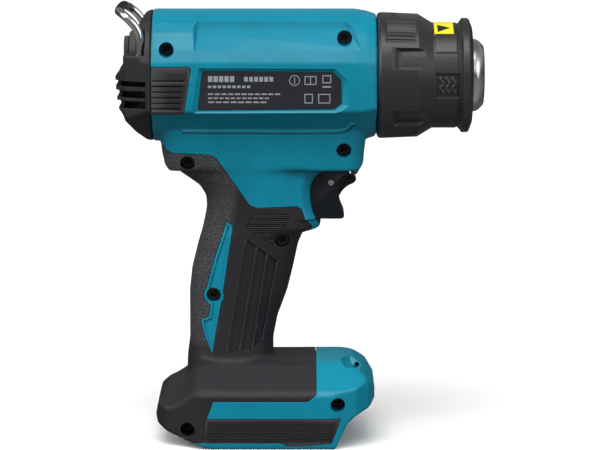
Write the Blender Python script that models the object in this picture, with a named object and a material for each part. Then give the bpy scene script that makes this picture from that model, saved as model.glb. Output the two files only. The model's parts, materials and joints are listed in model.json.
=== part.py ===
"""Cordless heat gun, bare tool without its battery pack.

The tool stands on its foot.  +X points out of the nozzle, +Z is up, and the tool's right
side (the side with the screw heads) faces -Y.  The origin is at the middle of the tool's
box, on the surface that the foot stands on.  Sizes below are in millimetres, and every
mesh is scaled to metres as it is made.
"""
import math

import bmesh
import bpy
from mathutils import Vector

MM = 0.001
GAP = 0.3            # clearance between neighbouring pieces
HALF_GAP = 0.15      # each housing half stops this far from the parting plane

# Barrel
AXIS_Z = 184.5       # height of the air path's axis
BARREL_REAR = -73.6
BARREL_FRONT = 38.2
BARREL_R = 33.5
WALL = 2.6

# Handle and foot
SKIN = 1.8           # thickness of the soft overmould
CORE_WALL = 2.4
FOOT_HALF = 39.0
CHANNEL_HALF = 31.0  # battery channel under the foot
LIP_HALF = 27.5      # opening between the rails' lips
LIP_TOP = 4.0
CHANNEL_TOP = 14.0
CHANNEL_REAR = -46.0

# Air path
TUBE_R = 15.2        # steel nozzle tube inside the housing
SPOUT_R = 18.2       # and where it shows
TIP_R = 14.6
TIP_X = 92.3
MOTOR_R = 12.0
FAN_R = 24.0

# Trigger group
TRIGGER_HALF = 10.5
LEVER_PIVOT = (15.6, 131.2)
SPRING_Z = 117.4
SPRING_REAR = -6.1
SPRING_FRONT = 8.6

# Hook
HOOK_PIVOT = (-79.5, 193.5)
HOOK_HALF = 26.5
WIRE_R = 2.2

# Dial
DIAL_Z = 196.5
DIAL_R = 8.0

# Housing screws: x, z, depth of the head's seat, half-width of the tool there
SCREWS = [(-66.0, 200.0, 17.0, 34.0), (22.1, 205.2, 15.0, 34.0), (-56.2, 142.5, 11.0, 24.0),
          (21.9, 149.0, 11.0, 24.0), (-9.0, 102.8, 9.0, 22.0), (-43.5, 74.8, 9.0, 22.0),
          (18.9, 22.7, 24.0, 42.0), (-56.4, 9.4, 20.0, 42.0)]
SCREW_HOLE_R = 3.7
BOSS_R = 5.0

MATERIALS = {
    "teal_plastic": ((0.012, 0.235, 0.310), 0.42, 0.0),
    "black_elastomer": ((0.028, 0.026, 0.030), 0.70, 0.0),
    "black_plastic": ((0.030, 0.029, 0.032), 0.48, 0.0),
    "grey_plastic": ((0.080, 0.078, 0.080), 0.50, 0.0),
    "trigger_plastic": ((0.014, 0.017, 0.024), 0.38, 0.0),
    "polished_steel": ((0.62, 0.62, 0.63), 0.16, 1.0),
    "wire_chrome": ((0.72, 0.72, 0.70), 0.12, 1.0),
    "screw_steel": ((0.16, 0.16, 0.17), 0.35, 1.0),
    "plate_black": ((0.030, 0.032, 0.036), 0.45, 0.0),
    "caution_yellow": ((0.74, 0.70, 0.02), 0.45, 0.0),
    "mica": ((0.48, 0.42, 0.30), 0.60, 0.0),
    "ceramic": ((0.75, 0.72, 0.66), 0.75, 0.0),
    "heating_wire": ((0.35, 0.30, 0.26), 0.45, 1.0),
    "board_green": ((0.02, 0.14, 0.05), 0.50, 0.0),
    "contact_brass": ((0.72, 0.50, 0.18), 0.25, 1.0),
    "clear_lens": ((0.85, 0.87, 0.88), 0.08, 0.0),
    "natural_plastic": ((0.60, 0.58, 0.53), 0.55, 0.0),
    "lead_red": ((0.45, 0.02, 0.02), 0.55, 0.0),
    "lead_black": ((0.02, 0.02, 0.02), 0.55, 0.0),
}


# ---------------------------------------------------------------- mesh helpers

def clear_scene():
    for obj in list(bpy.data.objects):
        bpy.data.objects.remove(obj)


def material(name):
    """The named Principled material, made the first time it is asked for."""
    if name in bpy.data.materials:
        return bpy.data.materials[name]
    colour, roughness, metallic = MATERIALS[name]
    mat = bpy.data.materials.new(name)
    mat.use_nodes = True
    shader = mat.node_tree.nodes["Principled BSDF"]
    shader.inputs["Base Color"].default_value = (*colour, 1.0)
    shader.inputs["Roughness"].default_value = roughness
    shader.inputs["Metallic"].default_value = metallic
    return mat


def new_object(name, bm):
    """Make an object from a bmesh in millimetres, with its faces pointing out."""
    bmesh.ops.recalc_face_normals(bm, faces=bm.faces)
    bmesh.ops.scale(bm, vec=(MM, MM, MM), verts=bm.verts)
    mesh = bpy.data.meshes.new(name)
    bm.to_mesh(mesh)
    bm.free()
    obj = bpy.data.objects.new(name, mesh)
    bpy.context.collection.objects.link(obj)
    return obj


def skin_rings(name, rings, closed=False):
    """Join rings of points with quads, and cap both ends unless the rings form a loop."""
    bm = bmesh.new()
    loops = [[bm.verts.new(p) for p in ring] for ring in rings]
    count = len(loops[0])
    pairs = list(zip(loops, loops[1:]))
    if closed:
        pairs.append((loops[-1], loops[0]))
    for a, b in pairs:
        for i in range(count):
            j = (i + 1) % count
            bm.faces.new((a[i], a[j], b[j], b[i]))
    if not closed:
        bm.faces.new(loops[0])
        bm.faces.new(reversed(loops[-1]))
    return new_object(name, bm)


def prism(name, outline, y_low, y_high):
    """Extrude an (x, z) outline along Y."""
    return skin_rings(name, [[(x, y, z) for x, z in outline] for y in (y_low, y_high)])


def prism_x(name, outline, x_low, x_high):
    """Extrude a (y, z) outline along X."""
    return skin_rings(name, [[(x, y, z) for y, z in outline] for x in (x_low, x_high)])


def prism_z(name, outline, z_low, z_high):
    """Extrude an (x, y) outline along Z."""
    return skin_rings(name, [[(x, y, z) for x, y in outline] for z in (z_low, z_high)])


def block(name, low, high):
    (x0, y0, z0), (x1, y1, z1) = low, high
    return prism_z(name, [(x0, y0), (x1, y0), (x1, y1), (x0, y1)], z0, z1)


def turned(name, profile, segments=24, z=AXIS_Z, y=0.0):
    """Revolve a closed (x, r) profile about the X direction through (y, z)."""
    bm = bmesh.new()
    rings = []
    for x, r in profile:
        if r == 0:
            rings.append([bm.verts.new((x, y, z))])
            continue
        angles = [2 * math.pi * k / segments for k in range(segments)]
        rings.append([bm.verts.new((x, y + r * math.cos(a), z + r * math.sin(a))) for a in angles])
    pairs = list(zip(rings, rings[1:]))
    if min(r for _, r in profile) > 0:
        pairs.append((rings[-1], rings[0]))
    for a, b in pairs:
        for i in range(segments):
            j = (i + 1) % segments
            corners = [a[i % len(a)], a[j % len(a)], b[j % len(b)], b[i % len(b)]]
            corners = [v for k, v in enumerate(corners) if v not in corners[:k]]
            if len(corners) > 2:
                bm.faces.new(corners)
    return new_object(name, bm)


def rod_y(name, x, z, radius, y_low, y_high, sides=12):
    """A round bar along Y."""
    outline = [(x + radius * math.cos(2 * math.pi * k / sides),
                z + radius * math.sin(2 * math.pi * k / sides)) for k in range(sides)]
    return prism(name, outline, y_low, y_high)


def boolean(base, tool, operation):
    """Apply one Boolean to base; the tool object is used up.

    The many-faced casings meet in near-tangent faces, which the exact solver leaves open.
    Every operand here is closed, so the manifold solver is used.
    """
    modifier = base.modifiers.new("boolean", "BOOLEAN")
    modifier.operation = operation
    modifier.solver = "MANIFOLD"
    modifier.object = tool
    graph = bpy.context.evaluated_depsgraph_get()
    mesh = bpy.data.meshes.new_from_object(base.evaluated_get(graph))
    base.modifiers.clear()
    base.data = mesh
    bpy.data.objects.remove(tool)
    return base


def copy_of(obj):
    twin = bpy.data.objects.new("copy", obj.data.copy())
    bpy.context.collection.objects.link(twin)
    return twin


def cut(base, *tools):
    for tool in tools:
        boolean(base, tool, "DIFFERENCE")
    return base


def join(base, *tools):
    for tool in tools:
        boolean(base, tool, "UNION")
    return base


def common(base, *tools):
    for tool in tools:
        boolean(base, tool, "INTERSECT")
    return base


def half_space(side):
    """A block that holds everything on one side of the parting plane."""
    low, high = sorted((side * HALF_GAP, side * 80.0))
    return block("half", (-150, low, -20), (150, high, 260))


def finish(obj, name, slot, smooth_angle=None):
    """Name the piece, give it its material and its shading."""
    obj.name = name
    obj.data.name = name
    obj.data.materials.clear()
    obj.data.materials.append(material(slot))
    if smooth_angle is not None:
        obj.data.shade_smooth()
        obj.data.set_sharp_from_angle(angle=math.radians(smooth_angle))
    return obj


def set_origin(obj, point):
    """Put the object's origin on a point given in millimetres, leaving its mesh in place."""
    offset = Vector(point) * MM
    for vertex in obj.data.vertices:
        vertex.co -= offset
    obj.location = offset


def offset_outline(points, distance):
    """Move each side of an outline out by distance, or in where it is negative."""
    area = sum(a[0] * b[1] - b[0] * a[1] for a, b in zip(points, points[1:] + points[:1]))
    turn = 1 if area > 0 else -1
    moved = []
    for k, here in enumerate(points):
        before, after = points[k - 1], points[(k + 1) % len(points)]
        d1 = Vector((here[0] - before[0], here[1] - before[1])).normalized()
        d2 = Vector((after[0] - here[0], after[1] - here[1])).normalized()
        n1, n2 = Vector((d1.y, -d1.x)) * turn, Vector((d2.y, -d2.x)) * turn
        mitre = n1 + n2
        mitre *= distance / max(0.35, mitre.dot(n1))
        moved.append((here[0] + mitre.x, here[1] + mitre.y))
    return moved


def mirrored(half):
    """Complete a (y, z) half outline, given top to bottom at +Y, with its mirror image."""
    other = [(-y, z) for y, z in reversed(half) if y > 0]
    return half + other


# ---------------------------------------------------------------- outer shapes

BARREL_HALF_SECTION = [(0, 33.7), (10.0, 32.2), (18.5, 28.4), (24.0, 23.6), (29.8, 16.2),
                       (33.0, 9.5), (33.6, 0.0), (33.6, -14.8), (29.5, -18.2), (21.5, -26.0),
                       (12.5, -31.2), (0, -33.5)]

HANDLE_SECTIONS = [  # z, rear x, front x, half-width
    (143.0, -67.5, 9.8, 20.3), (136.0, -60.8, 8.9, 19.8), (129.5, -51.1, 6.0, 19.3),
    (124.0, -47.6, 5.7, 19.0), (118.5, -47.2, 6.5, 18.8), (112.4, -48.3, 9.1, 18.6),
    (110.8, -48.7, 10.8, 18.5), (107.6, -49.3, 9.8, 18.5), (105.2, -50.0, 1.7, 18.4),
    (100.0, -51.6, -0.7, 18.3), (87.0, -54.8, -3.5, 18.0), (75.5, -56.1, -6.3, 18.0),
    (62.0, -56.1, -11.3, 18.0), (51.0, -56.1, -13.5, 18.4), (42.0, -57.3, -13.5, 19.0),
    (24.0, -58.0, -11.7, 20.0)]

BLACK_REGION = [  # where the overmould covers the handle and the foot, as (x, z)
    (-90, 152.0), (-67.9, 151.1), (-67.4, 149.1), (-63.9, 147.4), (-44.2, 146.4),
    (-41.9, 144.8), (-26.2, 121.9), (-24.5, 120.3), (-21.6, 119.4), (-1.4, 119.8),
    (0.7, 118.3), (2.6, 112.5), (5.8, 109.5), (5.6, 107.6), (20.0, 104.0), (20.0, 60.0), (8.0, 52.0),
    (8.0, 28.4), (4.0, 24.9), (-43.6, 24.9), (-47.8, 14.0), (-48.6, 4.4), (-55.0, 2.6), (-90, 2.6)]

INLAY_REGION = [(-36.9, 112.8), (-33.5, 110.0), (-38.4, 78.0), (-44.4, 44.6), (-49.0, 55.6),
                (-50.4, 61.8), (-46.0, 64.2), (-45.4, 71.0), (-48.1, 75.7), (-43.4, 93.0)]

BUMPER_REGION = [(-47.2, 15.6), (20.3, 15.6), (15.7, 3.4), (2.4, 2.0), (-6.8, 2.0),
                 (-8.9, 3.6), (-47.6, 3.6)]

FOOT_SIDE = [(-71.5, 22.0), (-67.0, 27.5), (-58.0, 31.5), (-50.0, 41.3), (22.0, 41.3),
             (27.5, 39.8), (33.4, 34.8), (37.7, 29.0), (37.7, 22.6), (35.2, 19.6), (27.6, 16.4),
             (23.6, 12.6), (17.6, 0.0), (-44.0, 0.0), (-55.2, 3.2), (-66.2, 7.2), (-71.8, 10.2),
             (-72.8, 15.0)]

FOOT_HALF_SECTION = [(0, 43.0), (15.0, 42.4), (20.5, 41.0), (37.6, 29.4), (39.0, 27.2),
                     (39.0, 6.0), (38.0, 0.0), (37.4, -3.0), (0, -3.0)]

FOOT_HALF_PLAN = [(39.0, 0), (38.0, 18.0), (34.6, 29.0), (28.0, 36.0), (16.0, 39.0),
                  (-49.0, 39.0), (-57.0, 34.5), (-68.0, 30.0), (-73.4, 22.0), (-74.0, 0)]

COVER_SIDE = [(-73.9, 217.8), (-78.0, 215.3), (-80.0, 212.0), (-80.4, 197.0), (-87.8, 197.0),
              (-87.8, 191.5), (-91.8, 186.4), (-91.2, 178.0), (-90.0, 170.4), (-87.6, 167.4),
              (-86.6, 164.4), (-82.0, 158.6), (-77.2, 153.8), (-73.9, 151.6)]

COVER_HALF_PLAN = [(-60.0, 0), (-60.0, 36.0), (-74.0, 36.0), (-79.0, 32.2), (-86.0, 29.6),
                   (-92.0, 22.5), (-93.4, 12.0), (-94.0, 0)]


def barrel_section(scale, x):
    return [(x, y * scale, AXIS_Z + z * scale) for y, z in mirrored(BARREL_HALF_SECTION)]


def barrel_outer(outset=0.0):
    wider = (BARREL_R + outset) / BARREL_R
    stations = [(BARREL_REAR, 1.0), (-20.0, 1.0), (27.0, 1.0), (33.0, 0.972), (BARREL_FRONT, 0.92)]
    return skin_rings("barrel", [barrel_section(scale * wider, x) for x, scale in stations])


def barrel_cavity():
    inner = (BARREL_R - WALL) / BARREL_R
    stations = [(BARREL_REAR - 5.0, inner), (26.0, inner), (34.3, inner * 0.93)]
    return skin_rings("barrel_cavity", [barrel_section(scale, x) for x, scale in stations])


def oval(z, x_rear, x_front, half, count=20, power=2.5):
    """A superellipse in a level plane."""
    middle, reach = (x_rear + x_front) / 2, (x_front - x_rear) / 2
    ring = []
    for k in range(count):
        angle = 2 * math.pi * (k + 0.5) / count
        c, s = math.cos(angle), math.sin(angle)
        ring.append((middle + reach * math.copysign(abs(c) ** (2 / power), c),
                     half * math.copysign(abs(s) ** (2 / power), s), z))
    return ring


def handle_solid(inset=0.0, count=20, every=1, top=None):
    """The grip down into the foot; inset moves its surface in."""
    sections = HANDLE_SECTIONS[::every]
    if sections[-1] != HANDLE_SECTIONS[-1]:
        sections.append(HANDLE_SECTIONS[-1])
    if top is not None:
        sections = [top] + sections[1:]
    rings = [oval(z, rear + inset, front - inset, half - inset, count)
             for z, rear, front, half in sections]
    return skin_rings("handle", rings)


def web_outline(inset=0.0):
    """Level outline of the web between barrel and handle."""
    rear, front, half, corner = -68.6 + inset, 31.6 - inset, 20.6 - inset, 9.0
    steps = 4
    outline = []
    corners = [(front - corner, half - corner, 0), (rear + corner, half - corner, 90),
               (rear + corner, corner - half, 180), (front - corner, corner - half, 270)]
    for cx, cy, start in corners:
        for k in range(steps + 1):
            angle = math.radians(start + 90 * k / steps)
            outline.append((cx + corner * math.cos(angle), cy + corner * math.sin(angle)))
    return outline


def web_solid(inset=0.0):
    """The web between barrel and handle, a little wider where it meets the barrel."""
    base = [(x, y, 138.2 + inset) for x, y in web_outline(inset)]
    middle = [(x, y, 147.0) for x, y in web_outline(inset - 0.6)]
    crown = [(x, y, 162.0) for x, y in web_outline(inset - 2.4)]
    web = skin_rings("web", [crown, middle, base])
    slope = [(-90, 146.0), (-68.7, 146.0), (-67.8, 141.3), (-64.8, 137.0), (-60, 133), (-90, 133)]
    cut(web, prism("rear_slope", [(x + inset, z) for x, z in slope], -40, 40))
    corner = [(28.6, 137.0), (31.7, 141.2), (45.0, 141.2), (45.0, 137.0)]
    return cut(web, prism("front_slope", [(x - inset, z) for x, z in corner], -40, 40))


def three_view(name, side, section, plan, inset=0.0):
    """The solid that fills a side outline, a cross-section and a plan outline at once."""
    body = prism(name, offset_outline(side, -inset), -60, 60)
    common(body, prism_x("section", offset_outline(section, -inset), -120, 120))
    common(body, prism_z("plan", offset_outline(plan, -inset), -20, 260))
    return body


def foot_solid(inset=0.0):
    section = mirrored(FOOT_HALF_SECTION)
    plan = FOOT_HALF_PLAN + [(x, -y) for x, y in reversed(FOOT_HALF_PLAN) if y > 0]
    return three_view("foot", FOOT_SIDE, section, plan, inset)


def cover_solid(inset=0.0):
    """The rear cover; where it is inset to make the hollow, it opens into the barrel."""
    plan = COVER_HALF_PLAN + [(x, -y) for x, y in reversed(COVER_HALF_PLAN) if y > 0]
    section = [(y, AXIS_Z + z) for y, z in mirrored(BARREL_HALF_SECTION)]
    side = COVER_SIDE
    if inset > 0:
        side = [(-64.0, COVER_SIDE[0][1])] + side + [(-64.0, COVER_SIDE[-1][1])]
    return three_view("cover", side, section, plan, inset)


def lower_body(inset=0.0):
    return join(handle_solid(inset), web_solid(inset), foot_solid(inset))


# ---------------------------------------------------------------- housing and skins

def battery_channel():
    """The T-shaped channel that the battery pack slides into from the front."""
    wide = block("channel", (CHANNEL_REAR, -CHANNEL_HALF, LIP_TOP), (60, CHANNEL_HALF, CHANNEL_TOP))
    mouth = block("mouth", (CHANNEL_REAR, -LIP_HALF, -5), (60, LIP_HALF, LIP_TOP + 1))
    return join(wide, mouth)


def screw_bosses():
    return [rod_y("boss", x, z, BOSS_R if z > 60 else BOSS_R + 0.4, -44, 44, 10)
            for x, z, _, _ in SCREWS]


def housing_cavity():
    """Everything hollow inside the housing, less the screw bosses."""
    hollow = barrel_cavity()
    join(hollow, prism_z("web_cavity", web_outline(CORE_WALL + 0.4), 140.8, 170))
    inset = SKIN + GAP + CORE_WALL
    join(hollow, handle_solid(inset, 12, 3, (150.0, -64.0, 4.0, 19.4)))
    join(hollow, block("foot_cavity", (-48.0, -29.5, 17.0), (26.0, 29.5, 33.0)))
    return cut(hollow, *screw_bosses())


def trigger_window():
    return block("trigger_window", (-6, -TRIGGER_HALF - 0.4, 112.5), (14, TRIGGER_HALF + 0.4, 137.8))


def whole_housing():
    """Both housing halves as one solid, still without the parting cut."""
    lower = lower_body()
    black = prism("black", offset_outline(BLACK_REGION, GAP), -60, 60)
    cut(black, prism("inlay", offset_outline(INLAY_REGION, -GAP), -70, 70))
    cut(lower, black)
    cut(lower, *bumper_cutters())
    body = join(barrel_outer(), lower, lower_body(SKIN + GAP))
    cut(body, housing_cavity(), battery_channel(), trigger_window())
    cut(body, block("lead_way", (-30, -8, 12), (-22, 8, 40)))
    cut(body, turned("front_hole", [(30, 0), (30, 22.0), (45, 22.0), (45, 0)], 24))
    for side in (-1, 1):
        cut(body, plate_pocket(side), pad_pocket(side))
    cut(body, lamp_pocket())
    return body


def bumper_cutters():
    outline = offset_outline(BUMPER_REGION, GAP)
    return [prism("bumper_cut", outline, *sorted((side * (FOOT_HALF - SKIN - GAP), side * 60)))
            for side in (-1, 1)]


PLATE_OUTLINE = [(-48.2, 189.6), (16.0, 189.2), (20.2, 185.3), (20.4, 174.0), (16.9, 171.2),
                 (-50.4, 170.6)]
PAD_OUTLINE = [(-73.2, 191.6), (-55.0, 191.7), (-54.0, 190.6), (-57.6, 168.2), (-58.8, 167.4),
               (-73.2, 167.4)]
SIDE_FLAT = 33.6     # half-width at the barrel's flat flanks


def plate_pocket(side):
    low, high = sorted((side * (SIDE_FLAT - 1.3), side * 50))
    return prism("plate_pocket", offset_outline(PLATE_OUTLINE, 0.8), low, high)


def pad_pocket(side):
    outline = [(x - 3.0 if x < -73 else x, z) for x, z in offset_outline(PAD_OUTLINE, GAP)]
    low, high = sorted((side * (SIDE_FLAT - 2.0), side * 50))
    return prism("pad_pocket", outline, low, high)


def lamp_pocket():
    return block("lamp_pocket", (25.0, -8.6, 130), (35.0, 8.6, 138.6))


def drill_screw_holes(half, side):
    """Counterbores from the right side, and thread holes that stop inside the left half."""
    for x, z, seat, reach in SCREWS:
        if side < 0:
            cut(half, rod_y("head_hole", x, z, SCREW_HOLE_R, -reach - 10, -seat, 12))
            cut(half, rod_y("shank_hole", x, z, 1.9, -seat - 1, 5, 8))
        else:
            cut(half, rod_y("thread_hole", x, z, 1.9, -1, 11, 8))
    return half


def make_housing():
    whole = whole_housing()
    for side, name in ((-1, "housing_right"), (1, "housing_left")):
        half = common(copy_of(whole), half_space(side))
        drill_screw_holes(half, side)
        finish(half, name, "teal_plastic", 30)
    bpy.data.objects.remove(whole)


def make_overmoulds():
    """The soft skin on each side of the grip and over the rear of the foot."""
    whole = lower_body()
    region = prism("region", BLACK_REGION, -60, 60)
    cut(region, prism("inlay", INLAY_REGION, -70, 70))
    common(whole, region)
    cut(whole, lower_body(SKIN), barrel_outer(GAP), battery_channel(), trigger_window())
    cut(whole, *bumper_cutters())
    for side, name in ((-1, "grip_overmould_right"), (1, "grip_overmould_left")):
        half = common(copy_of(whole), half_space(side))
        if side < 0:
            for x, z, seat, reach in SCREWS:
                cut(half, rod_y("head_hole", x, z, SCREW_HOLE_R, -reach - 10, -2, 12))
        finish(half, name, "black_elastomer", 35)
    bpy.data.objects.remove(whole)


def make_bumper_pads():
    for side, name in ((-1, "bumper_pad_right"), (1, "bumper_pad_left")):
        low, high = sorted((side * (FOOT_HALF - SKIN), side * (FOOT_HALF + 5)))
        pad = common(prism(name, BUMPER_REGION, low, high), foot_solid())
        finish(pad, name, "black_elastomer")


def make_barrel_trim():
    for side, tag in ((-1, "right"), (1, "left")):
        low, high = sorted((side * (SIDE_FLAT - 0.9), side * (SIDE_FLAT - 0.4)))
        finish(prism("plate", PLATE_OUTLINE, low, high), "rating_plate_" + tag, "plate_black")
        low, high = sorted((side * (SIDE_FLAT - 1.7), side * (SIDE_FLAT + 5)))
        pad = common(prism("pad", PAD_OUTLINE, low, high), barrel_outer())
        finish(pad, "side_pad_" + tag, "black_plastic")


# ---------------------------------------------------------------- rear cover, hook and dial

def make_rear_cover():
    cover = cover_solid()
    hollow = cover_solid(2.4)
    for side in (-1, 1):
        low, high = sorted((side * 18.6, side * 40))
        cut(hollow, block("hook_boss", (-90, low, 188.6), (-74.5, high, 220)))
    cut(hollow, block("dial_boss", (-90, -14, 183.2), (-77.6, 14, 220)))
    cut(hollow, block("centre_rib", (-95, -1.2, 167.5), (-77.2, 1.2, 189.0)))
    cut(cover, hollow)
    cut(cover, block("dial_recess", (-95, -11.5, 185.8), (-80.4, 11.5, 212)))
    cut(cover, turned("spindle_hole", [(-90, 0), (-90, 3.4), (-60, 3.4), (-60, 0)], 12, DIAL_Z))
    for side in (-1, 1):
        low, high = sorted((side * 22.3, side * 40))
        cut(cover, block("shoulder_notch", (-95, low, 197.2), (-76.9, high, 230)))
        low, high = sorted((side * (HOOK_HALF - 2.7), side * (HOOK_HALF + 2.7)))
        cut(cover, block("hook_slot", (-95, low, 190.4), (-76.6, high, 230)))
        low, high = sorted((side * (HOOK_HALF - 5.0), side * HOOK_HALF))
        cut(cover, rod_y("hook_bore", *HOOK_PIVOT, WIRE_R + 0.3, low, high, 12))
        for slot_low, slot_high in ((181.8, 184.6), (176.2, 179.8), (171.0, 174.8)):
            low, high = sorted((side * 3.0, side * 16))
            cut(cover, block("rear_louvre", (-96, low, slot_low), (-86.0, high, slot_high)))
            low, high = sorted((side * 15.0, side * 40))
            cut(cover, block("side_louvre", (-96, low, slot_low), (-76.2, high, slot_high)))
    cut(cover, block("switch_window", (-96, -4.6, 159.9), (-78.8, 4.6, 164.1)))
    finish(cover, "rear_cover", "black_plastic")


def hook_path():
    """Wire centre line: a pin in the cover, a leg, and half of the cross bar; then its mirror."""
    px, pz = HOOK_PIVOT
    half = [(px, HOOK_HALF - 4.4, pz), (px, HOOK_HALF - 1.4, pz), (px, HOOK_HALF - 0.3, pz + 0.5),
            (px, HOOK_HALF, pz + 2.0), (px + 0.2, HOOK_HALF, pz + 12.0),
            (px - 1.2, HOOK_HALF, pz + 16.4), (px - 3.4, HOOK_HALF - 0.2, pz + 19.6),
            (px - 6.4, HOOK_HALF - 1.0, pz + 22.4), (px - 9.0, HOOK_HALF - 4.2, pz + 24.2),
            (px - 10.4, HOOK_HALF - 10.5, pz + 24.8)]
    return half + [(x, -y, z) for x, y, z in reversed(half)]


def swept(name, path, radius, sides=8):
    """Sweep a round section along a path, with the section kept square to it."""
    rings = []
    side = None
    for k, point in enumerate(path):
        ahead = Vector(path[min(k + 1, len(path) - 1)]) - Vector(path[max(k - 1, 0)])
        ahead.normalize()
        if side is None:
            side = ahead.orthogonal().normalized()
        side = (side - ahead * side.dot(ahead)).normalized()
        other = ahead.cross(side)
        rings.append([Vector(point) + radius * (side * math.cos(a) + other * math.sin(a))
                      for a in (2 * math.pi * i / sides for i in range(sides))])
    return skin_rings(name, rings)


def make_hook():
    hook = finish(swept("hook", hook_path(), WIRE_R), "hook", "wire_chrome", 50)
    set_origin(hook, (HOOK_PIVOT[0], 0, HOOK_PIVOT[1]))


def make_dial():
    seat = turned("seat", [(-85.6, 4.0), (-85.6, 9.6), (-84.8, 10.4), (-80.7, 10.4), (-80.7, 4.0)],
                  24, DIAL_Z)
    finish(seat, "dial_seat", "grey_plastic", 35)
    dial = turned("dial", [(-88.4, 0), (-88.4, DIAL_R - 0.6), (-87.8, DIAL_R), (-86.0, DIAL_R),
                           (-86.0, 3.0), (-77.0, 3.0), (-77.0, 0)], 24, DIAL_Z)
    cut(dial, block("pointer", (-92, -0.5, DIAL_Z + 2.5), (-87.9, 0.5, DIAL_Z + 12)))
    finish(dial, "temperature_dial", "grey_plastic", 35)
    set_origin(dial, (0, 0, DIAL_Z))
    body = block("potentiometer", (-76.6, -6, DIAL_Z - 6), (-71.6, 6, DIAL_Z + 6))
    finish(body, "dial_potentiometer", "natural_plastic")


def make_airflow_switch():
    """A two-position slide low in the rear cover, moving along Y."""
    button = block("slide", (-85.3, -3.0, 160.4), (-79.2, 0.2, 163.6))
    join(button, block("stem", (-80.0, -2.6, 160.9), (-76.6, -0.2, 162.7)))
    finish(button, "airflow_switch", "grey_plastic")
    body = block("body", (-76.2, -6.5, 158.4), (-70.8, 6.5, 164.4))
    finish(body, "airflow_switch_body", "natural_plastic")


# ---------------------------------------------------------------- nozzle and heater

def make_air_path():
    tube = [(0, TUBE_R), (44.5, TUBE_R), (49, SPOUT_R), (88, SPOUT_R), (90.2, 16.9), (91.4, 15.7),
            (TIP_X, TIP_R), (TIP_X, TIP_R - 1.0), (90.8, 14.9), (89.5, 16.2), (87.6, SPOUT_R - 1.0),
            (49.5, SPOUT_R - 1.0), (45, TUBE_R - 1.0), (0, TUBE_R - 1.0)]
    finish(turned("tube", tube, 28), "nozzle_tube", "polished_steel", 40)
    holder = [(30.0, 15.7), (30.0, 25.5), (33.9, 25.5), (33.9, 21.6), (43.9, 21.6), (43.9, 15.7)]
    finish(turned("holder", holder, 24), "nozzle_holder", "natural_plastic", 40)
    shield = [(50.0, 20.2), (50.0, 20.9), (79.0, 20.9), (79.0, 20.2)]
    finish(turned("shield", shield, 24), "heat_shield", "polished_steel", 40)
    mica = [(3.4, 12.9), (3.4, 13.6), (82.0, 13.6), (82.0, 12.9)]
    finish(turned("mica", mica, 24), "mica_tube", "mica", 40)


def make_heater():
    arm, thick = 9.3, 0.8
    cross = [(thick, thick), (thick, arm), (-thick, arm), (-thick, thick), (-arm, thick),
             (-arm, -thick), (-thick, -thick), (-thick, -arm), (thick, -arm), (thick, -thick),
             (arm, -thick), (arm, thick)]
    former = prism_x("former", [(y, AXIS_Z + z) for y, z in cross], 6.0, 80.0)
    finish(former, "heater_former", "ceramic")
    turns, per_turn, coil_r = 9, 10, 11.2
    points = []
    for k in range(turns * per_turn + 1):
        angle = 2 * math.pi * k / per_turn
        points.append((10.0 + 64.0 * k / (turns * per_turn), coil_r * math.cos(angle),
                       AXIS_Z + coil_r * math.sin(angle)))
    finish(swept("coil", points, 0.6, 4), "heater_coil", "heating_wire", 60)
    probe = turned("probe", [(40.0, 0), (40.0, 0.9), (84.0, 0.9), (85.0, 0)], 8, AXIS_Z + 5.0, 5.0)
    finish(probe, "thermocouple", "screw_steel", 40)


def make_blower():
    motor = [(-56.0, 0), (-56.0, MOTOR_R), (-29.0, MOTOR_R), (-28.0, MOTOR_R - 2), (-28.0, 1.4),
             (-41.0, 1.4), (-41.0, 0)]
    finish(turned("motor", motor, 20), "fan_motor", "screw_steel", 40)
    fan = turned("fan", [(-40.6, 0), (-40.6, 1.0), (-26.6, 1.0), (-26.6, FAN_R), (-25.4, FAN_R),
                         (-25.4, 5.0), (-15.0, 5.0), (-13.6, 3.0), (-13.6, 0)], 20)
    blades = 9
    star = []
    for k in range(blades):
        for radius, lead in ((4.2, -6.0), (FAN_R - 0.6, 22.0), (FAN_R - 0.6, 26.0), (4.2, 8.0)):
            angle = math.radians(360.0 * k / blades + lead)
            star.append((radius * math.cos(angle), AXIS_Z + radius * math.sin(angle)))
    join(fan, prism_x("blades", star, -26.0, -17.0))
    finish(fan, "fan_impeller", "black_plastic")
    set_origin(fan, (0, 0, AXIS_Z))
    duct = [(-31.0, 25.4), (-31.0, 27.2), (-13.0, 27.2), (-4.5, 17.6), (4.0, 17.6), (4.0, 15.7),
            (-4.0, 15.7), (-12.6, 25.4)]
    finish(turned("duct", duct, 24), "fan_duct", "natural_plastic", 40)
    mount = turned("mount", [(-47.0, MOTOR_R + 0.3), (-47.0, 14.4), (-43.0, 14.4),
                             (-43.0, MOTOR_R + 0.3)], 20)
    for k in range(3):
        arm = block("arm", (-46.5, -2.0, 13.2), (-43.5, 2.0, 29.6))
        turn = math.radians(120 * k)
        for vertex in arm.data.vertices:
            y, z = vertex.co.y, vertex.co.z
            vertex.co.y = y * math.cos(turn) - z * math.sin(turn)
            vertex.co.z = y * math.sin(turn) + z * math.cos(turn) + AXIS_Z * MM
        join(mount, arm)
    finish(mount, "motor_mount", "natural_plastic")


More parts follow.
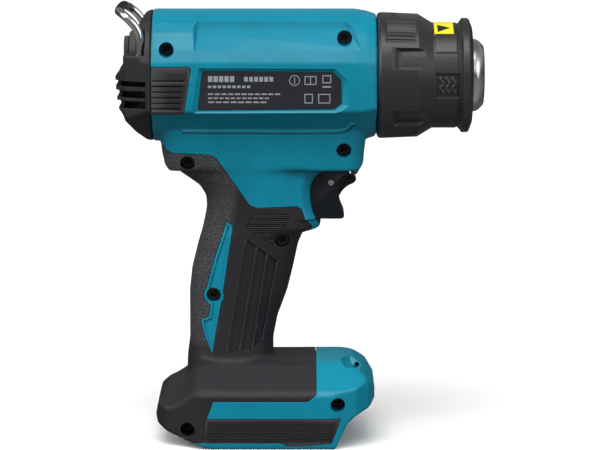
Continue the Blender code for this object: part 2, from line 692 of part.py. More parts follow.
def make_protector_sleeve():
    """The removable guard round the nozzle, with its four finger notches."""
    outer = [(38.6, 27.0), (38.6, 30.2), (40.2, 31.8), (59.0, 31.0), (66.3, 26.5), (79.4, 26.5),
             (81.2, 28.8), (84.0, 28.8), (85.3, 26.8), (86.2, 24.6)]
    inner = [(86.2, 21.6), (83.0, 21.6), (81.5, 23.0), (64.0, 23.0), (58.6, 27.0)]
    sleeve = turned("sleeve", outer + inner, 32)
    for k in range(4):
        notch = block("notch", (50.0, -4.8, 29.3), (64.0, 4.8, 36.0))
        turn = math.radians(66 + 90 * k)
        for vertex in notch.data.vertices:
            y, z = vertex.co.y, vertex.co.z
            vertex.co.y = y * math.cos(turn) - z * math.sin(turn)
            vertex.co.z = y * math.sin(turn) + z * math.cos(turn) + AXIS_Z * MM
        cut(sleeve, notch)
    finish(sleeve, "protector_sleeve", "black_plastic", 35)
    sticker = turned("sticker", [(69.0, 26.65), (69.0, 27.0), (77.5, 27.0), (77.5, 26.65)], 32)
    common(sticker, block("patch", (60, -18.6, AXIS_Z + 10), (90, 1.0, AXIS_Z + 40)))
    finish(sticker, "caution_sticker", "caution_yellow", 35)


# ---------------------------------------------------------------- trigger group

TRIGGER_OUTLINE = [(1.0, 113.0), (9.4, 112.8), (21.0, 112.7), (22.3, 113.6), (22.3, 115.4),
                   (20.6, 119.0), (19.6, 123.2), (19.6, 127.8), (20.8, 131.4), (23.8, 134.6),
                   (23.0, 137.2), (1.0, 137.2)]

LEVER_OUTLINE = [(12.4, 134.6), (21.5, 136.0), (25.9, 133.9), (28.0, 133.6), (28.6, 132.0),
                 (27.6, 130.2), (24.0, 128.6), (21.0, 125.8), (19.8, 123.0), (14.6, 124.2),
                 (11.9, 128.4)]


def make_trigger():
    trigger = prism("trigger", TRIGGER_OUTLINE, -TRIGGER_HALF, TRIGGER_HALF)
    cut(trigger, block("lever_slot", (10.6, -4.1, 121.6), (40, 4.1, 145)))
    cut(trigger, turned("spring_bore", [(-5, 0), (-5, 3.1), (8.9, 3.1), (8.9, 0)], 12, SPRING_Z))
    cut(trigger, rod_y("pin_hole", *LEVER_PIVOT, 1.8, -30, 30, 12))
    plunger = turned("plunger", [(-9.0, 0), (-9.0, 2.0), (2.0, 2.0), (2.0, 0)], 10, 128.0)
    join(trigger, plunger)
    finish(trigger, "trigger", "trigger_plastic")
    lever = prism("lever", LEVER_OUTLINE, -3.7, 3.7)
    cut(lever, rod_y("pin_hole", *LEVER_PIVOT, 1.8, -30, 30, 12))
    finish(lever, "lock_lever", "trigger_plastic")
    set_origin(lever, (LEVER_PIVOT[0], 0, LEVER_PIVOT[1]))
    pin = rod_y("pin", *LEVER_PIVOT, 1.5, -TRIGGER_HALF, TRIGGER_HALF, 12)
    finish(pin, "lever_pin", "wire_chrome", 40)
    turns, per_turn = 6, 8
    points = [(SPRING_REAR + 0.5 + (SPRING_FRONT - SPRING_REAR - 1.0) * k / (turns * per_turn),
               2.2 * math.cos(2 * math.pi * k / per_turn),
               SPRING_Z + 2.2 * math.sin(2 * math.pi * k / per_turn))
              for k in range(turns * per_turn + 1)]
    finish(swept("spring", points, 0.35, 4), "trigger_spring", "wire_chrome", 60)
    switch = block("switch", (-28.0, -8.0, 112.0), (-6.5, 8.0, 133.0))
    cut(switch, turned("switch_bore", [(-20, 0), (-20, 2.4), (0, 2.4), (0, 0)], 10, 128.0))
    finish(switch, "switch_body", "natural_plastic")


def make_lamp():
    bezel = prism("bezel", [(25.3, 138.3), (25.6, 135.4), (26.8, 134.6), (28.8, 135.6),
                            (29.8, 137.3), (29.8, 138.3)], -8.3, 8.3)
    cut(bezel, block("lens_pocket", (26.6, -4.3, 130), (28.4, 4.3, 136.6)))
    finish(bezel, "lamp_bezel", "black_plastic")
    lens = prism("lens", [(26.9, 136.3), (26.9, 134.9), (28.1, 135.5), (28.1, 136.3)], -4.0, 4.0)
    finish(lens, "lamp_lens", "clear_lens")


# ---------------------------------------------------------------- electrics and fasteners

def make_electrics():
    board = block("board", (-44.0, -26.0, 19.0), (8.0, 26.0, 20.6))
    join(board, block("heat_sink", (-40.0, -22.0, 20.0), (-14.0, -4.0, 28.0)),
         block("capacitor", (-38.0, 4.0, 20.0), (-26.0, 14.0, 29.0)),
         block("relay", (-8.0, -20.0, 20.0), (4.0, -8.0, 27.0)))
    finish(board, "controller_board", "board_green")
    terminal = block("terminal", (-45.0, -16.0, 5.2), (-30.0, 16.0, 13.7))
    finish(terminal, "terminal_block", "black_plastic")
    for side, tag in ((-1, "negative"), (1, "positive")):
        low, high = sorted((side * 11.0, side * 10.2))
        blade = block("blade", (-29.7, low, 6.0), (-16.0, high, 11.8))
        finish(blade, "battery_blade_" + tag, "contact_brass")


def make_leads():
    """Two leads clipped inside the housing, from the board up through the grip."""
    routes = [("heater_lead", "lead_red", 5.0,
               [(-30, 33), (-34, 45), (-36, 60), (-35, 80), (-33, 100), (-33.5, 118), (-36, 134),
                (-38, 148), (-30, 153), (-14, 155), (4, 156), (16, 158)]),
              ("motor_lead", "lead_black", -5.0,
               [(-30, 33), (-33, 45), (-35, 60), (-34, 80), (-32, 100), (-33, 118), (-38, 134),
                (-46, 146), (-58, 156), (-62, 164), (-61, 172)])]
    for name, slot, y, route in routes:
        lead = swept("lead", [(x, y, z) for x, z in route], 1.2, 6)
        finish(lead, name, slot, 60)


def make_screws():
    for number, (x, z, seat, _) in enumerate(SCREWS, start=1):
        head = seat + 2.6
        screw = rod_y("screw", x, z, 3.2, -head, -seat - GAP, 10)
        join(screw, rod_y("shank", x, z, 1.5, -seat - 1.0, 9.0, 8))
        cut(screw, rod_y("drive", x, z, 1.6, -head - 1, -head + 1.4, 6))
        finish(screw, "housing_screw_%d" % number, "screw_steel", 40)


def main():
    clear_scene()
    make_housing()
    make_overmoulds()
    make_bumper_pads()
    make_barrel_trim()
    make_rear_cover()
    make_hook()
    make_dial()
    make_airflow_switch()
    make_air_path()
    make_heater()
    make_blower()
    make_protector_sleeve()
    make_trigger()
    make_lamp()
    make_electrics()
    make_leads()
    make_screws()


main()
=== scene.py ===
"""Looks of the cordless heat gun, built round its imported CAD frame.

+X points out of the nozzle, +Z is up and -Y is the tool's right side.  Sizes are in
millimetres and are scaled to metres as each mesh is made.  The casing is one dense skin,
lofted, remeshed and smoothed so that its parts flow together; the colours are then cut out
of it, so neighbouring pieces always meet.
"""

import json
from math import copysign, cos, degrees as in_degrees, dist, radians, sin, tau

import bmesh
import bpy
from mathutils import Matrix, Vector
from mathutils.bvhtree import BVHTree


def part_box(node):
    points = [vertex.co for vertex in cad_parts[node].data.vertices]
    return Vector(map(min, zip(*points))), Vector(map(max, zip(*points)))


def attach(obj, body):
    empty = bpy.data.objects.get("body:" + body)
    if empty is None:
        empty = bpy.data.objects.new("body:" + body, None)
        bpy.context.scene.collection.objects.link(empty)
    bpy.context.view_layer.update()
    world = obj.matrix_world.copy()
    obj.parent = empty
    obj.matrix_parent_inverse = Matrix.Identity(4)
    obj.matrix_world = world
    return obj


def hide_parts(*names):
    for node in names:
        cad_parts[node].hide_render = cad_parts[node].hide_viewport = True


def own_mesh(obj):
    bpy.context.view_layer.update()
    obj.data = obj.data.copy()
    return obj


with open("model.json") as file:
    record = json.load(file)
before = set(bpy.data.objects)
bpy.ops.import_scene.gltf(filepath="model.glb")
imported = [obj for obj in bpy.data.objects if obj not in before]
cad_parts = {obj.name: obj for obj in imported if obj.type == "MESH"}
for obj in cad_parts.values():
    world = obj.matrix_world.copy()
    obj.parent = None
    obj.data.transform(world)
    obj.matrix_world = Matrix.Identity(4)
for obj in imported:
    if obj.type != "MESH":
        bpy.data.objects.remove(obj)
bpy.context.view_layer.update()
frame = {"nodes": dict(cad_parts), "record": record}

MM = 0.001
GAP = 0.3  # clearance between seated pieces
HALF_GAP = 0.02  # each casing half's share of the seam
AXIS_Z = 184.5
BARREL_REAR = -73.6
BARREL_R = 33.5
CAVITY_R = 29.9
SKIN = 1.8  # depth of the overmould
CORE_WALL = 2.4  # the housing's wall under it
SIDE_FLAT = 33.6  # half-width across the barrel's flats
FOOT_HALF = 39.0
CASING_VOXEL, CASING_PASSES = 0.75, 5
COVER_VOXEL, COVER_PASSES = 0.55, 3
FLOW_PASSES = 50
CORNER_R = 0.35  # how far the shading softens an edge
OVAL_POWER = 2.5  # 2 is an ellipse, more is squarer
TRIGGER_HALF = 10.5
LEVER_PIVOT = (15.6, 131.2)
PIN_HOLE_R = 1.8
SPRING_Z = 117.4
HOOK_PIVOT = (-79.5, 193.5)
HOOK_HALF = 26.5
WIRE_R = 2.2
DIAL_Z = 196.5
DIAL_R = 8.0
SCREW_HOLE_R = 3.7
SIDES = ((-1, "right"), (1, "left"))

# Housing screws: x, z, depth of the head's seat, half-width of the tool there
SCREWS = [
    (-66, 200, 17, 34), (22.1, 205.2, 15, 34), (-56.2, 142.5, 11, 24), (21.9, 149, 11, 24),
    (-9, 102.8, 9, 22), (-43.5, 74.8, 9, 22), (18.9, 22.7, 24, 42), (-56.4, 9.4, 20, 42)]

# Half sections are (y, z), half plans (x, y), and every other outline (x, z)
BARREL_HALF_SECTION = [
    (0, 33.7), (10, 32.2), (18.5, 28.4), (24, 23.6), (29.8, 16.2), (33, 9.5), (33.6, 0),
    (33.6, -14.8), (29.5, -18.2), (21.5, -26), (12.5, -31.2), (0, -33.5)]

HANDLE_SECTIONS = [  # z, rear x, front x, half-width
    (143, -67.5, 9.8, 20.3), (136, -60.8, 8.9, 19.8), (129.5, -51.1, 6, 19.3),
    (124, -47.6, 5.7, 19), (118.5, -47.2, 6.5, 18.8), (112.4, -48.3, 9.1, 18.6),
    (110.8, -48.7, 10.8, 18.5), (107.6, -49.3, 9.8, 18.5), (105.2, -50, 1.7, 18.4),
    (100, -51.6, -0.7, 18.3), (87, -54.8, -3.5, 18), (75.5, -56.1, -6.3, 18),
    (62, -56.1, -11.3, 18), (51, -56.1, -13.5, 18.4), (42, -57.3, -13.5, 19), (24, -58, -11.7, 20)]

BLACK_REGION = [  # where the overmould covers the handle and the foot
    (-90, 152), (-67.9, 151.1), (-67.4, 149.1), (-63.9, 147.4), (-44.2, 146.4), (-41.9, 144.8),
    (-26.2, 121.9), (-24.5, 120.3), (-21.6, 119.4), (-1.4, 119.8), (0.7, 118.3), (2.6, 112.5),
    (5.8, 109.5), (5.6, 107.6), (20, 104), (20, 60), (8, 52), (8, 28.4), (4, 24.9), (-43.6, 24.9),
    (-47, 15.6), (-47.4, 4.4), (-55, 2.6), (-90, 2.6)]

INLAY_REGION = [
    (-36.9, 112.8), (-33.5, 110), (-38.4, 78), (-44.4, 44.6), (-49, 55.6), (-50.4, 61.8),
    (-46, 64.2), (-45.4, 71), (-48.1, 75.7), (-43.4, 93)]

BUMPER_REGION = [
    (-47.2, 15.6), (20.3, 15.6), (15.7, 3.4), (2.4, 2), (-6.8, 2), (-8.9, 3.6), (-47.6, 3.6)]

FOOT_SIDE = [
    (-71.5, 22), (-67, 27.5), (-58, 31.5), (-50, 41.3), (22, 41.3), (27.5, 39.8), (33.4, 34.8),
    (37.7, 29), (37.7, 22.6), (35.2, 19.6), (27.6, 16.4), (23.6, 12.6), (17.6, 0), (-44, 0),
    (-55.2, 3.2), (-66.2, 7.2), (-71.8, 10.2), (-72.8, 15)]

FOOT_HALF_SECTION = [
    (0, 43), (15, 42.4), (20.5, 41), (37.6, 29.4), (39, 27.2), (39, 6), (38, 0), (37.4, -3),
    (0, -3)]

FOOT_HALF_PLAN = [
    (39, 0), (38, 18), (34.6, 29), (28, 36), (16, 39), (-49, 39), (-57, 34.5), (-68, 30),
    (-73.4, 22), (-74, 0)]

COVER_SIDE = [
    (-73.9, 217.8), (-78, 215.3), (-80, 212), (-80.4, 197), (-87.8, 197), (-87.8, 191.5),
    (-91.8, 186.4), (-91.2, 178), (-90, 170.4), (-87.6, 167.4), (-86.6, 164.4), (-82, 158.6),
    (-77.2, 153.8), (-73.9, 151.6)]

COVER_HALF_PLAN = [
    (-60, 0), (-60, 36), (-74, 36), (-79, 32.2), (-86, 29.6), (-92, 22.5), (-93.4, 12), (-94, 0)]

PLATE_OUTLINE = [
    (-48.2, 189.6), (16, 189.2), (20.2, 185.3), (20.4, 174), (16.9, 171.2), (-50.4, 170.6)]
PLATE_LIP = [
    (-50.2, 191.6), (17.7, 191.2), (24.2, 184.9), (24.6, 172.9), (18.2, 168.4), (-53.6, 167.8)]
PAD_OUTLINE = [
    (-73.2, 191.6), (-55, 191.7), (-54, 190.6), (-57.6, 168.2), (-58.8, 167.4), (-73.2, 167.4)]

TRIGGER_OUTLINE = [
    (1, 113), (9.4, 112.8), (21, 112.7), (22.3, 113.6), (22.3, 115.4), (20.6, 119), (19.6, 123.2),
    (19.6, 127.8), (20.8, 131.4), (25.1, 135.8), (25.1, 137.4), (1, 137.4)]
LEVER_OUTLINE = [
    (12.4, 134.6), (21.5, 136), (25.9, 133.9), (28, 133.6), (28.6, 132), (27.6, 130.2),
    (24, 128.6), (21, 125.8), (19.8, 123), (14.6, 124.2), (11.9, 128.4)]

# Behind and above the trigger, the crease over the web, and the fluted panel's ridges
POCKET_ARC = [
    (8.9, 112.6), (7.2, 116), (6.1, 120), (5.6, 124), (5.6, 127.6), (6.2, 130.8), (7.6, 133.4),
    (9.6, 135.6), (12.4, 137.2), (16, 138), (20, 138.4), (25, 138.8)]
CREASE = [
    (-58.5, 157.6), (-45, 157.5), (-30, 157.4), (-15, 157.3), (0, 157.3), (12, 157.4), (19, 157.5),
    (22, 158.2), (24.4, 160), (26, 162.4)]
FLUTE_RIDGES = [
    ((-27.3, 104.4), (-37, 45.1)), ((-21.7, 99.9), (-30.6, 46.2)), ((-16.5, 96.2), (-24.3, 46.9)),
    ((-11.4, 92.1), (-19.2, 50.9))]
FLUTE_DEPTHS = [-0.1, 0.75, 1.1, 1.3, 1.35, 1.2]
RIDGE_STEPS = 24


# ---- materials

def feed(tree, node, **inputs):
    """Set each named input of a node to a constant, or link it to another node's output."""
    for key, value in inputs.items():
        socket = node.inputs[key.replace("_", " ")]
        if isinstance(value, bpy.types.NodeSocket):
            tree.links.new(value, socket)
        else:
            socket.default_value = value
    return node


def add_node(tree, kind, **inputs):
    return feed(tree, tree.nodes.new(kind), **inputs)


def ranged(tree, source, low, high, from_low=0.0, from_high=1.0):
    """Map from_low..from_high to low..high, and hold the ends."""
    node = tree.nodes.new("ShaderNodeMapRange")
    for index, value in enumerate((from_low, from_high, low, high), start=1):
        node.inputs[index].default_value = value
    tree.links.new(source, node.inputs[0])
    return node.outputs[0]


def mixed(tree, amount, colour, other):
    """Blend a linked colour, or an (r, g, b), towards a fixed (r, g, b)."""
    node = tree.nodes.new("ShaderNodeMix")
    node.data_type = "RGBA"
    tree.links.new(amount, node.inputs[0])
    if isinstance(colour, bpy.types.NodeSocket):
        tree.links.new(colour, node.inputs[6])
    else:
        node.inputs[6].default_value = (*colour, 1)
    node.inputs[7].default_value = (*other, 1)
    return node.outputs[2]


def times(tree, first, second):
    node = tree.nodes.new("ShaderNodeMath")
    node.operation = "MULTIPLY"
    tree.links.new(first, node.inputs[0])
    tree.links.new(second, node.inputs[1])
    return node.outputs[0]


def noise(tree, coords, size, detail=3.0):
    """Noise whose blobs are about size millimetres across."""
    return add_node(tree, "ShaderNodeTexNoise", Scale=1.0 / (size * MM), Detail=detail,
                    Vector=coords).outputs["Fac"]


def surface(name, colour, rough, grain=0.5, bump=0.12, mottle=0.07, wear_and_edge_highlight=0.12, metallic=0.0,
            leather=False, spread=0.06, gloss=0.3, **sockets):
    """A moulded or metal surface: grain, faint mottling, edges lightened by wear and by painted
    highlight, and softened corners.
    """
    mat = bpy.data.materials.new("look_" + name)
    mat.use_nodes = True
    tree = mat.node_tree
    coords = tree.nodes.new("ShaderNodeTexCoord").outputs["Object"]
    broad, fine = noise(tree, coords, 14.0), noise(tree, coords, grain, 2.0)
    base = mixed(tree, ranged(tree, broad, 0, 1, 0.3, 0.7), [c * (1 - mottle) for c in colour],
                 [c * (1 + mottle) for c in colour])
    # Convex edges are lightened towards grey: partly wear, partly a painted highlight along them.
    edges = tree.nodes.new("ShaderNodeNewGeometry").outputs["Pointiness"]
    base = mixed(tree, ranged(tree, edges, 0, 1, 0.53, 0.62), base,
                 [c + (0.6 - c) * wear_and_edge_highlight for c in colour])
    soft = add_node(tree, "ShaderNodeBevel", Radius=CORNER_R * MM)
    soft.samples = 4
    relief = add_node(tree, "ShaderNodeBump", Strength=bump, Distance=grain * 0.5 * MM,
                      Height=fine, Normal=soft.outputs[0])
    if leather:
        relief, grain_peak_highlight = leather_grain(tree, coords, relief)
        # The grain's raised peaks are painted lighter than its hollows: a painted highlight on the
        # grain.
        base = mixed(tree, grain_peak_highlight, base, (0.075, 0.074, 0.082))
    feed(tree, tree.nodes["Principled BSDF"], Metallic=metallic, Specular_IOR_Level=gloss,
         Base_Color=base, Normal=relief.outputs[0],
         Roughness=ranged(tree, fine, rough - spread, rough + spread, 0.3, 0.7), **sockets)
    return mat


def leather_grain(tree, coords, below):
    """Pebbled grain on the strip behind the inlay, where the palm sits."""
    cells = add_node(tree, "ShaderNodeTexVoronoi", Scale=1.0 / (0.75 * MM), Vector=coords)
    split = add_node(tree, "ShaderNodeSeparateXYZ", Vector=coords)
    leaning = tree.nodes.new("ShaderNodeMath")  # x - 0.16 z, as the strip leans with the grip
    leaning.operation = "MULTIPLY_ADD"
    leaning.inputs[1].default_value = -0.16
    tree.links.new(split.outputs["Z"], leaning.inputs[0])
    tree.links.new(split.outputs["X"], leaning.inputs[2])
    mask = times(tree, ranged(tree, leaning.outputs[0], 1, 0, -0.0545, -0.0490),
                 ranged(tree, split.outputs["Z"], 0, 1, 0.046, 0.052))
    height = times(tree, cells.outputs["Distance"], mask)
    relief = add_node(tree, "ShaderNodeBump", Strength=0.65, Distance=0.8 * MM, Height=height,
                      Normal=below.outputs[0])
    # The second value is how high the grain stands, which paints a highlight on its peaks.
    return relief, ranged(tree, height, 0, 1, 0.1, 0.9)


LOOKS = {
    "teal_plastic": surface("teal", (0.001, 0.202, 0.297), 0.37, grain=0.35, bump=0.16,
                            wear_and_edge_highlight=0.1),
    "black_elastomer": surface("elastomer", (0.017, 0.016, 0.019), 0.5, grain=0.45, bump=0.3,
                               wear_and_edge_highlight=0.1, leather=True),
    "black_plastic": surface("black", (0.022, 0.021, 0.023), 0.4, grain=0.35, bump=0.2,
                             wear_and_edge_highlight=0.09),
    "guard": surface("guard", (0.024, 0.023, 0.025), 0.33, grain=0.35, bump=0.2, wear_and_edge_highlight=0.3,
                     gloss=0.5),
    "grey_plastic": surface("grey", (0.05, 0.048, 0.05), 0.45, grain=0.4, wear_and_edge_highlight=0.08),
    "trigger_plastic": surface("trigger", (0.006, 0.008, 0.012), 0.34, grain=0.6, bump=0.08,
                               wear_and_edge_highlight=0.08),
    "polished_steel": surface("steel", (0.66, 0.655, 0.65), 0.24, grain=0.25, bump=0.03, wear_and_edge_highlight=0.1,
                              metallic=1.0, mottle=0.05),
    "wire_chrome": surface("chrome", (0.78, 0.77, 0.74), 0.1, grain=0.3, bump=0.02, wear_and_edge_highlight=0.1,
                           metallic=1.0, spread=0.04, mottle=0.04),
    "screw_steel": surface("screws", (0.03, 0.03, 0.032), 0.4, grain=0.3, metallic=1.0),
    "plate_black": surface("plate", (0.012, 0.013, 0.017), 0.36, grain=0.8, bump=0.03,
                           wear_and_edge_highlight=0.02),
    "caution_yellow": surface("yellow", (0.72, 0.66, 0.012), 0.38, grain=0.8, bump=0.03,
                              wear_and_edge_highlight=0.02),
    "mica": surface("mica", (0.48, 0.42, 0.3), 0.6, grain=1.2, bump=0.2),
    "ceramic": surface("ceramic", (0.75, 0.72, 0.66), 0.75, grain=0.5),
    "heating_wire": surface("wire", (0.35, 0.3, 0.26), 0.45, metallic=1.0),
    "board_green": surface("board", (0.02, 0.14, 0.05), 0.45, grain=0.8),
    "contact_brass": surface("brass", (0.72, 0.5, 0.18), 0.25, grain=0.3, metallic=1.0),
    "clear_lens": surface("lens", (0.85, 0.87, 0.88), 0.1, grain=1.0, bump=0.02, Coat_Weight=1.0),
    "natural_plastic": surface("natural", (0.6, 0.58, 0.53), 0.5),
    "lead_red": surface("red", (0.45, 0.02, 0.02), 0.5),
    "lead_black": surface("cable", (0.02, 0.02, 0.02), 0.5),
}
PRINT = surface("print", (0.27, 0.285, 0.3), 0.45, grain=0.6, bump=0.05, wear_and_edge_highlight=0.0)
DARK_PRINT = surface("dark_print", (0.016, 0.016, 0.016), 0.45, grain=0.6, bump=0.05, wear_and_edge_highlight=0.0)


# ---- mesh helpers

def add_object(name, data):
    obj = bpy.data.objects.new(name, data)
    bpy.context.collection.objects.link(obj)
    return obj


def mesh_object(name, bm):
    mesh = bpy.data.meshes.new(name)
    bm.to_mesh(mesh)
    bm.free()
    return add_object(name, mesh)


def new_object(name, bm):
    """An object from a bmesh drawn in millimetres."""
    bmesh.ops.recalc_face_normals(bm, faces=bm.faces)
    bmesh.ops.scale(bm, vec=(MM, MM, MM), verts=bm.verts)
    return mesh_object(name, bm)


def skin_rings(name, rings, closed=False):
    """Join rings of points with quads, and cap both ends unless the rings form a loop."""
    bm = bmesh.new()
    loops = [[bm.verts.new(p) for p in ring] for ring in rings]
    count = len(loops[0])
    pairs = list(zip(loops, loops[1:]))
    if closed:
        pairs.append((loops[-1], loops[0]))
    for a, b in pairs:
        for i in range(count):
            j = (i + 1) % count
            bm.faces.new((a[i], a[j], b[j], b[i]))
    if not closed:
        bm.faces.new(loops[0])
        bm.faces.new(reversed(loops[-1]))
    return new_object(name, bm)


def prism(name, outline, y_low, y_high):
    return skin_rings(name, [[(x, y, z) for x, z in outline] for y in (y_low, y_high)])


def prism_x(name, outline, x_low, x_high):
    return skin_rings(name, [[(x, y, z) for y, z in outline] for x in (x_low, x_high)])


def prism_z(name, outline, z_low, z_high):
    return skin_rings(name, [[(x, y, z) for x, y in outline] for z in (z_low, z_high)])


def block(name, low, high):
    (x0, y0, z0), (x1, y1, z1) = low, high
    return prism_z(name, [(x0, y0), (x1, y0), (x1, y1), (x0, y1)], z0, z1)


def span(side, near, far):
    """The y range from near to far on one side of the tool, low end first."""
    return sorted((side * near, side * far))


def side_block(side, near, far, x_low, x_high, z_low, z_high):
    low, high = span(side, near, far)
    return block("side_block", (x_low, low, z_low), (x_high, high, z_high))


def turned_point(x, r, angle, z=AXIS_Z):
    return x, r * cos(angle), z + r * sin(angle)


def turned_rings(profile, segments, z=AXIS_Z):
    """One ring about the X direction, at height z, for each (x, r) of a profile."""
    return [[turned_point(x, r, tau * k / segments, z) for k in range(segments)]
            for x, r in profile]


def turned(name, profile, segments=96, z=AXIS_Z):
    """Revolve a closed (x, r) profile with every r above 0."""
    return skin_rings(name, turned_rings(profile, segments, z), closed=True)


def turned_solid(name, profile, segments=64, z=AXIS_Z):
    """Revolve an (x, r) profile whose ends are capped flat."""
    return skin_rings(name, turned_rings(profile, segments, z))


def rod_y(name, x, z, radius, y_low, y_high, sides=48):
    angles = [tau * k / sides for k in range(sides)]
    outline = [(x + radius * cos(a), z + radius * sin(a)) for a in angles]
    return prism(name, outline, y_low, y_high)


def bake(obj):
    """Turn the object's modifiers into mesh."""
    graph = bpy.context.evaluated_depsgraph_get()
    mesh = bpy.data.meshes.new_from_object(obj.evaluated_get(graph))
    obj.modifiers.clear()
    obj.data = mesh
    return obj


def combine(base, tools, operation):
    """Apply a Boolean to base for each tool; the tools are used up.  The manifold solver keeps
    the dense casings closed where the exact one leaves open seams."""
    for tool in tools:
        modifier = base.modifiers.new("boolean", "BOOLEAN")
        modifier.operation = operation
        modifier.solver = "MANIFOLD"
        modifier.object = tool
        bake(base)
        bpy.data.objects.remove(tool)
    return base


def copy_of(obj):
    return add_object("copy", obj.data.copy())


def cut(base, *tools):
    return combine(base, tools, "DIFFERENCE")


def join(base, *tools):
    return combine(base, tools, "UNION")


def common(base, *tools):
    return combine(base, tools, "INTERSECT")


def half_space(side):
    return side_block(side, HALF_GAP, 80, -150, 150, -20, 260)


def smoothed(obj, passes, group=""):
    """Add smoothing, within one vertex group or over the whole, and bake."""
    smoother = obj.modifiers.new("smooth", "SMOOTH")
    smoother.factor = 0.5
    smoother.iterations = passes
    smoother.vertex_group = group
    return bake(obj)


def remeshed(obj, voxel, passes):
    """Remesh to an even skin and round its edges off."""
    modifier = obj.modifiers.new("remesh", "REMESH")
    modifier.mode = "VOXEL"
    modifier.voxel_size = voxel * MM
    return smoothed(obj, passes)


def flowed(obj, weight, passes):
    """Smooth harder where weight(x, z), in millimetres, is above 0."""
    group = obj.vertex_groups.new(name="flow")
    for vertex in obj.data.vertices:
        x, _, z = vertex.co / MM
        value = weight(x, z)
        if value > 0:
            group.add([vertex.index], min(1, value), "REPLACE")
    smoothed(obj, passes, group.name)
    obj.vertex_groups.clear()
    return obj


def rounded(obj, width, segments=3, angle=35):
    modifier = obj.modifiers.new("bevel", "BEVEL")
    modifier.width = width * MM
    modifier.segments = segments
    modifier.limit_method = "ANGLE"
    modifier.angle_limit = radians(angle)
    return bake(obj)


def show(obj, name, body, slot, *nodes, angle=32, material=None):
    """Name a finished piece, shade it and seat it on its CAD body."""
    obj.name = obj.data.name = name
    obj.data.materials.clear()
    obj.data.materials.append(material or LOOKS[slot])
    obj.data.shade_smooth()
    obj.data.set_sharp_from_angle(angle=radians(angle))
    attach(obj, body)
    if nodes:
        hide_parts(*nodes)


def stand_in(obj, node, body, slot, **extras):
    """Show a piece in place of one CAD node."""
    show(obj, "look_" + node, body, slot, node, **extras)


def offset_outline(points, distance):
    """Move each side of an outline out by distance, or in where it is negative."""
    area = sum(a[0] * b[1] - b[0] * a[1] for a, b in zip(points, points[1:] + points[:1]))
    turn = 1 if area > 0 else -1
    moved = []
    for k, here in enumerate(points):
        before, after = points[k - 1], points[(k + 1) % len(points)]
        d1 = Vector((here[0] - before[0], here[1] - before[1])).normalized()
        d2 = Vector((after[0] - here[0], after[1] - here[1])).normalized()
        n1, n2 = Vector((d1.y, -d1.x)) * turn, Vector((d2.y, -d2.x)) * turn
        mitre = n1 + n2
        mitre *= distance / max(0.35, mitre.dot(n1))
        moved.append((here[0] + mitre.x, here[1] + mitre.y))
    return moved


def softened(points, radius=1.2, steps=4):
    """Round an outline's corners with short curves."""
    result = []
    for k, here in enumerate(points):
        corner = Vector(here)
        before, after = Vector(points[k - 1]), Vector(points[(k + 1) % len(points)])
        a = corner + (before - corner).normalized() * min(radius, (before - corner).length * 0.45)
        b = corner + (after - corner).normalized() * min(radius, (after - corner).length * 0.45)
        for i in range(steps + 1):
            t = i / steps
            p = a * (1 - t) ** 2 + corner * 2 * t * (1 - t) + b * t ** 2
            result.append((p.x, p.y))
    return result


def mirrored(half):
    """Complete a half section, given as (y, z)."""
    return half + [(-y, z) for y, z in reversed(half) if y > 0]


def step(value, low, high):
    """0 below low, 1 above high, and a smooth rise between."""
    t = min(1, max(0, (value - low) / (high - low)))
    return t * t * (3 - 2 * t)


def band(value, low, high, edge):
    """1 between low and high, falling to 0 over edge at each side."""
    return step(value, low - edge, low) * (1 - step(value, high, high + edge))


# ---- casing

def barrel_section(scale, x):
    return [(x, y * scale, AXIS_Z + z * scale) for y, z in mirrored(BARREL_HALF_SECTION)]


def barrel_outer(outset=0):
    wider = (BARREL_R + outset) / BARREL_R
    stations = [(BARREL_REAR, 1), (-20, 1), (27, 1), (33, 0.972), (38.2, 0.92)]
    return skin_rings("barrel", [barrel_section(scale * wider, x) for x, scale in stations])


def barrel_cavity():
    return turned_solid("barrel_cavity", [(BARREL_REAR - 5, CAVITY_R), (27, CAVITY_R),
                                          (34.3, CAVITY_R - 2)], 96)


def oval(z, x_rear, x_front, half, count):
    """A level ring of count points, squarer than an ellipse."""
    middle, reach = (x_rear + x_front) / 2, (x_front - x_rear) / 2
    ring = []
    for k in range(count):
        angle = tau * (k + 0.5) / count
        c, s = cos(angle), sin(angle)
        ring.append((middle + reach * copysign(abs(c) ** (2 / OVAL_POWER), c),
                     half * copysign(abs(s) ** (2 / OVAL_POWER), s), z))
    return ring


def handle_solid(inset=0, count=64, every=1, top=None):
    """The grip, from every so many of its sections, with another top one if it is given."""
    sections = HANDLE_SECTIONS[::every]
    if sections[-1] != HANDLE_SECTIONS[-1]:
        sections.append(HANDLE_SECTIONS[-1])
    if top is not None:
        sections = [top] + sections[1:]
    return skin_rings("handle", [oval(z, rear + inset, front - inset, half - inset, count)
                                 for z, rear, front, half in sections])


def web_outline(inset=0):
    rear, front, half, corner = -68.6 + inset, 31.6 - inset, 20.6 - inset, 9.0
    steps = 8
    outline = []
    for cx, cy, start in [(front - corner, half - corner, 0), (rear + corner, half - corner, 90),
                          (rear + corner, corner - half, 180),
                          (front - corner, corner - half, 270)]:
        for k in range(steps + 1):
            angle = radians(start + 90 * k / steps)
            outline.append((cx + corner * cos(angle), cy + corner * sin(angle)))
    return outline


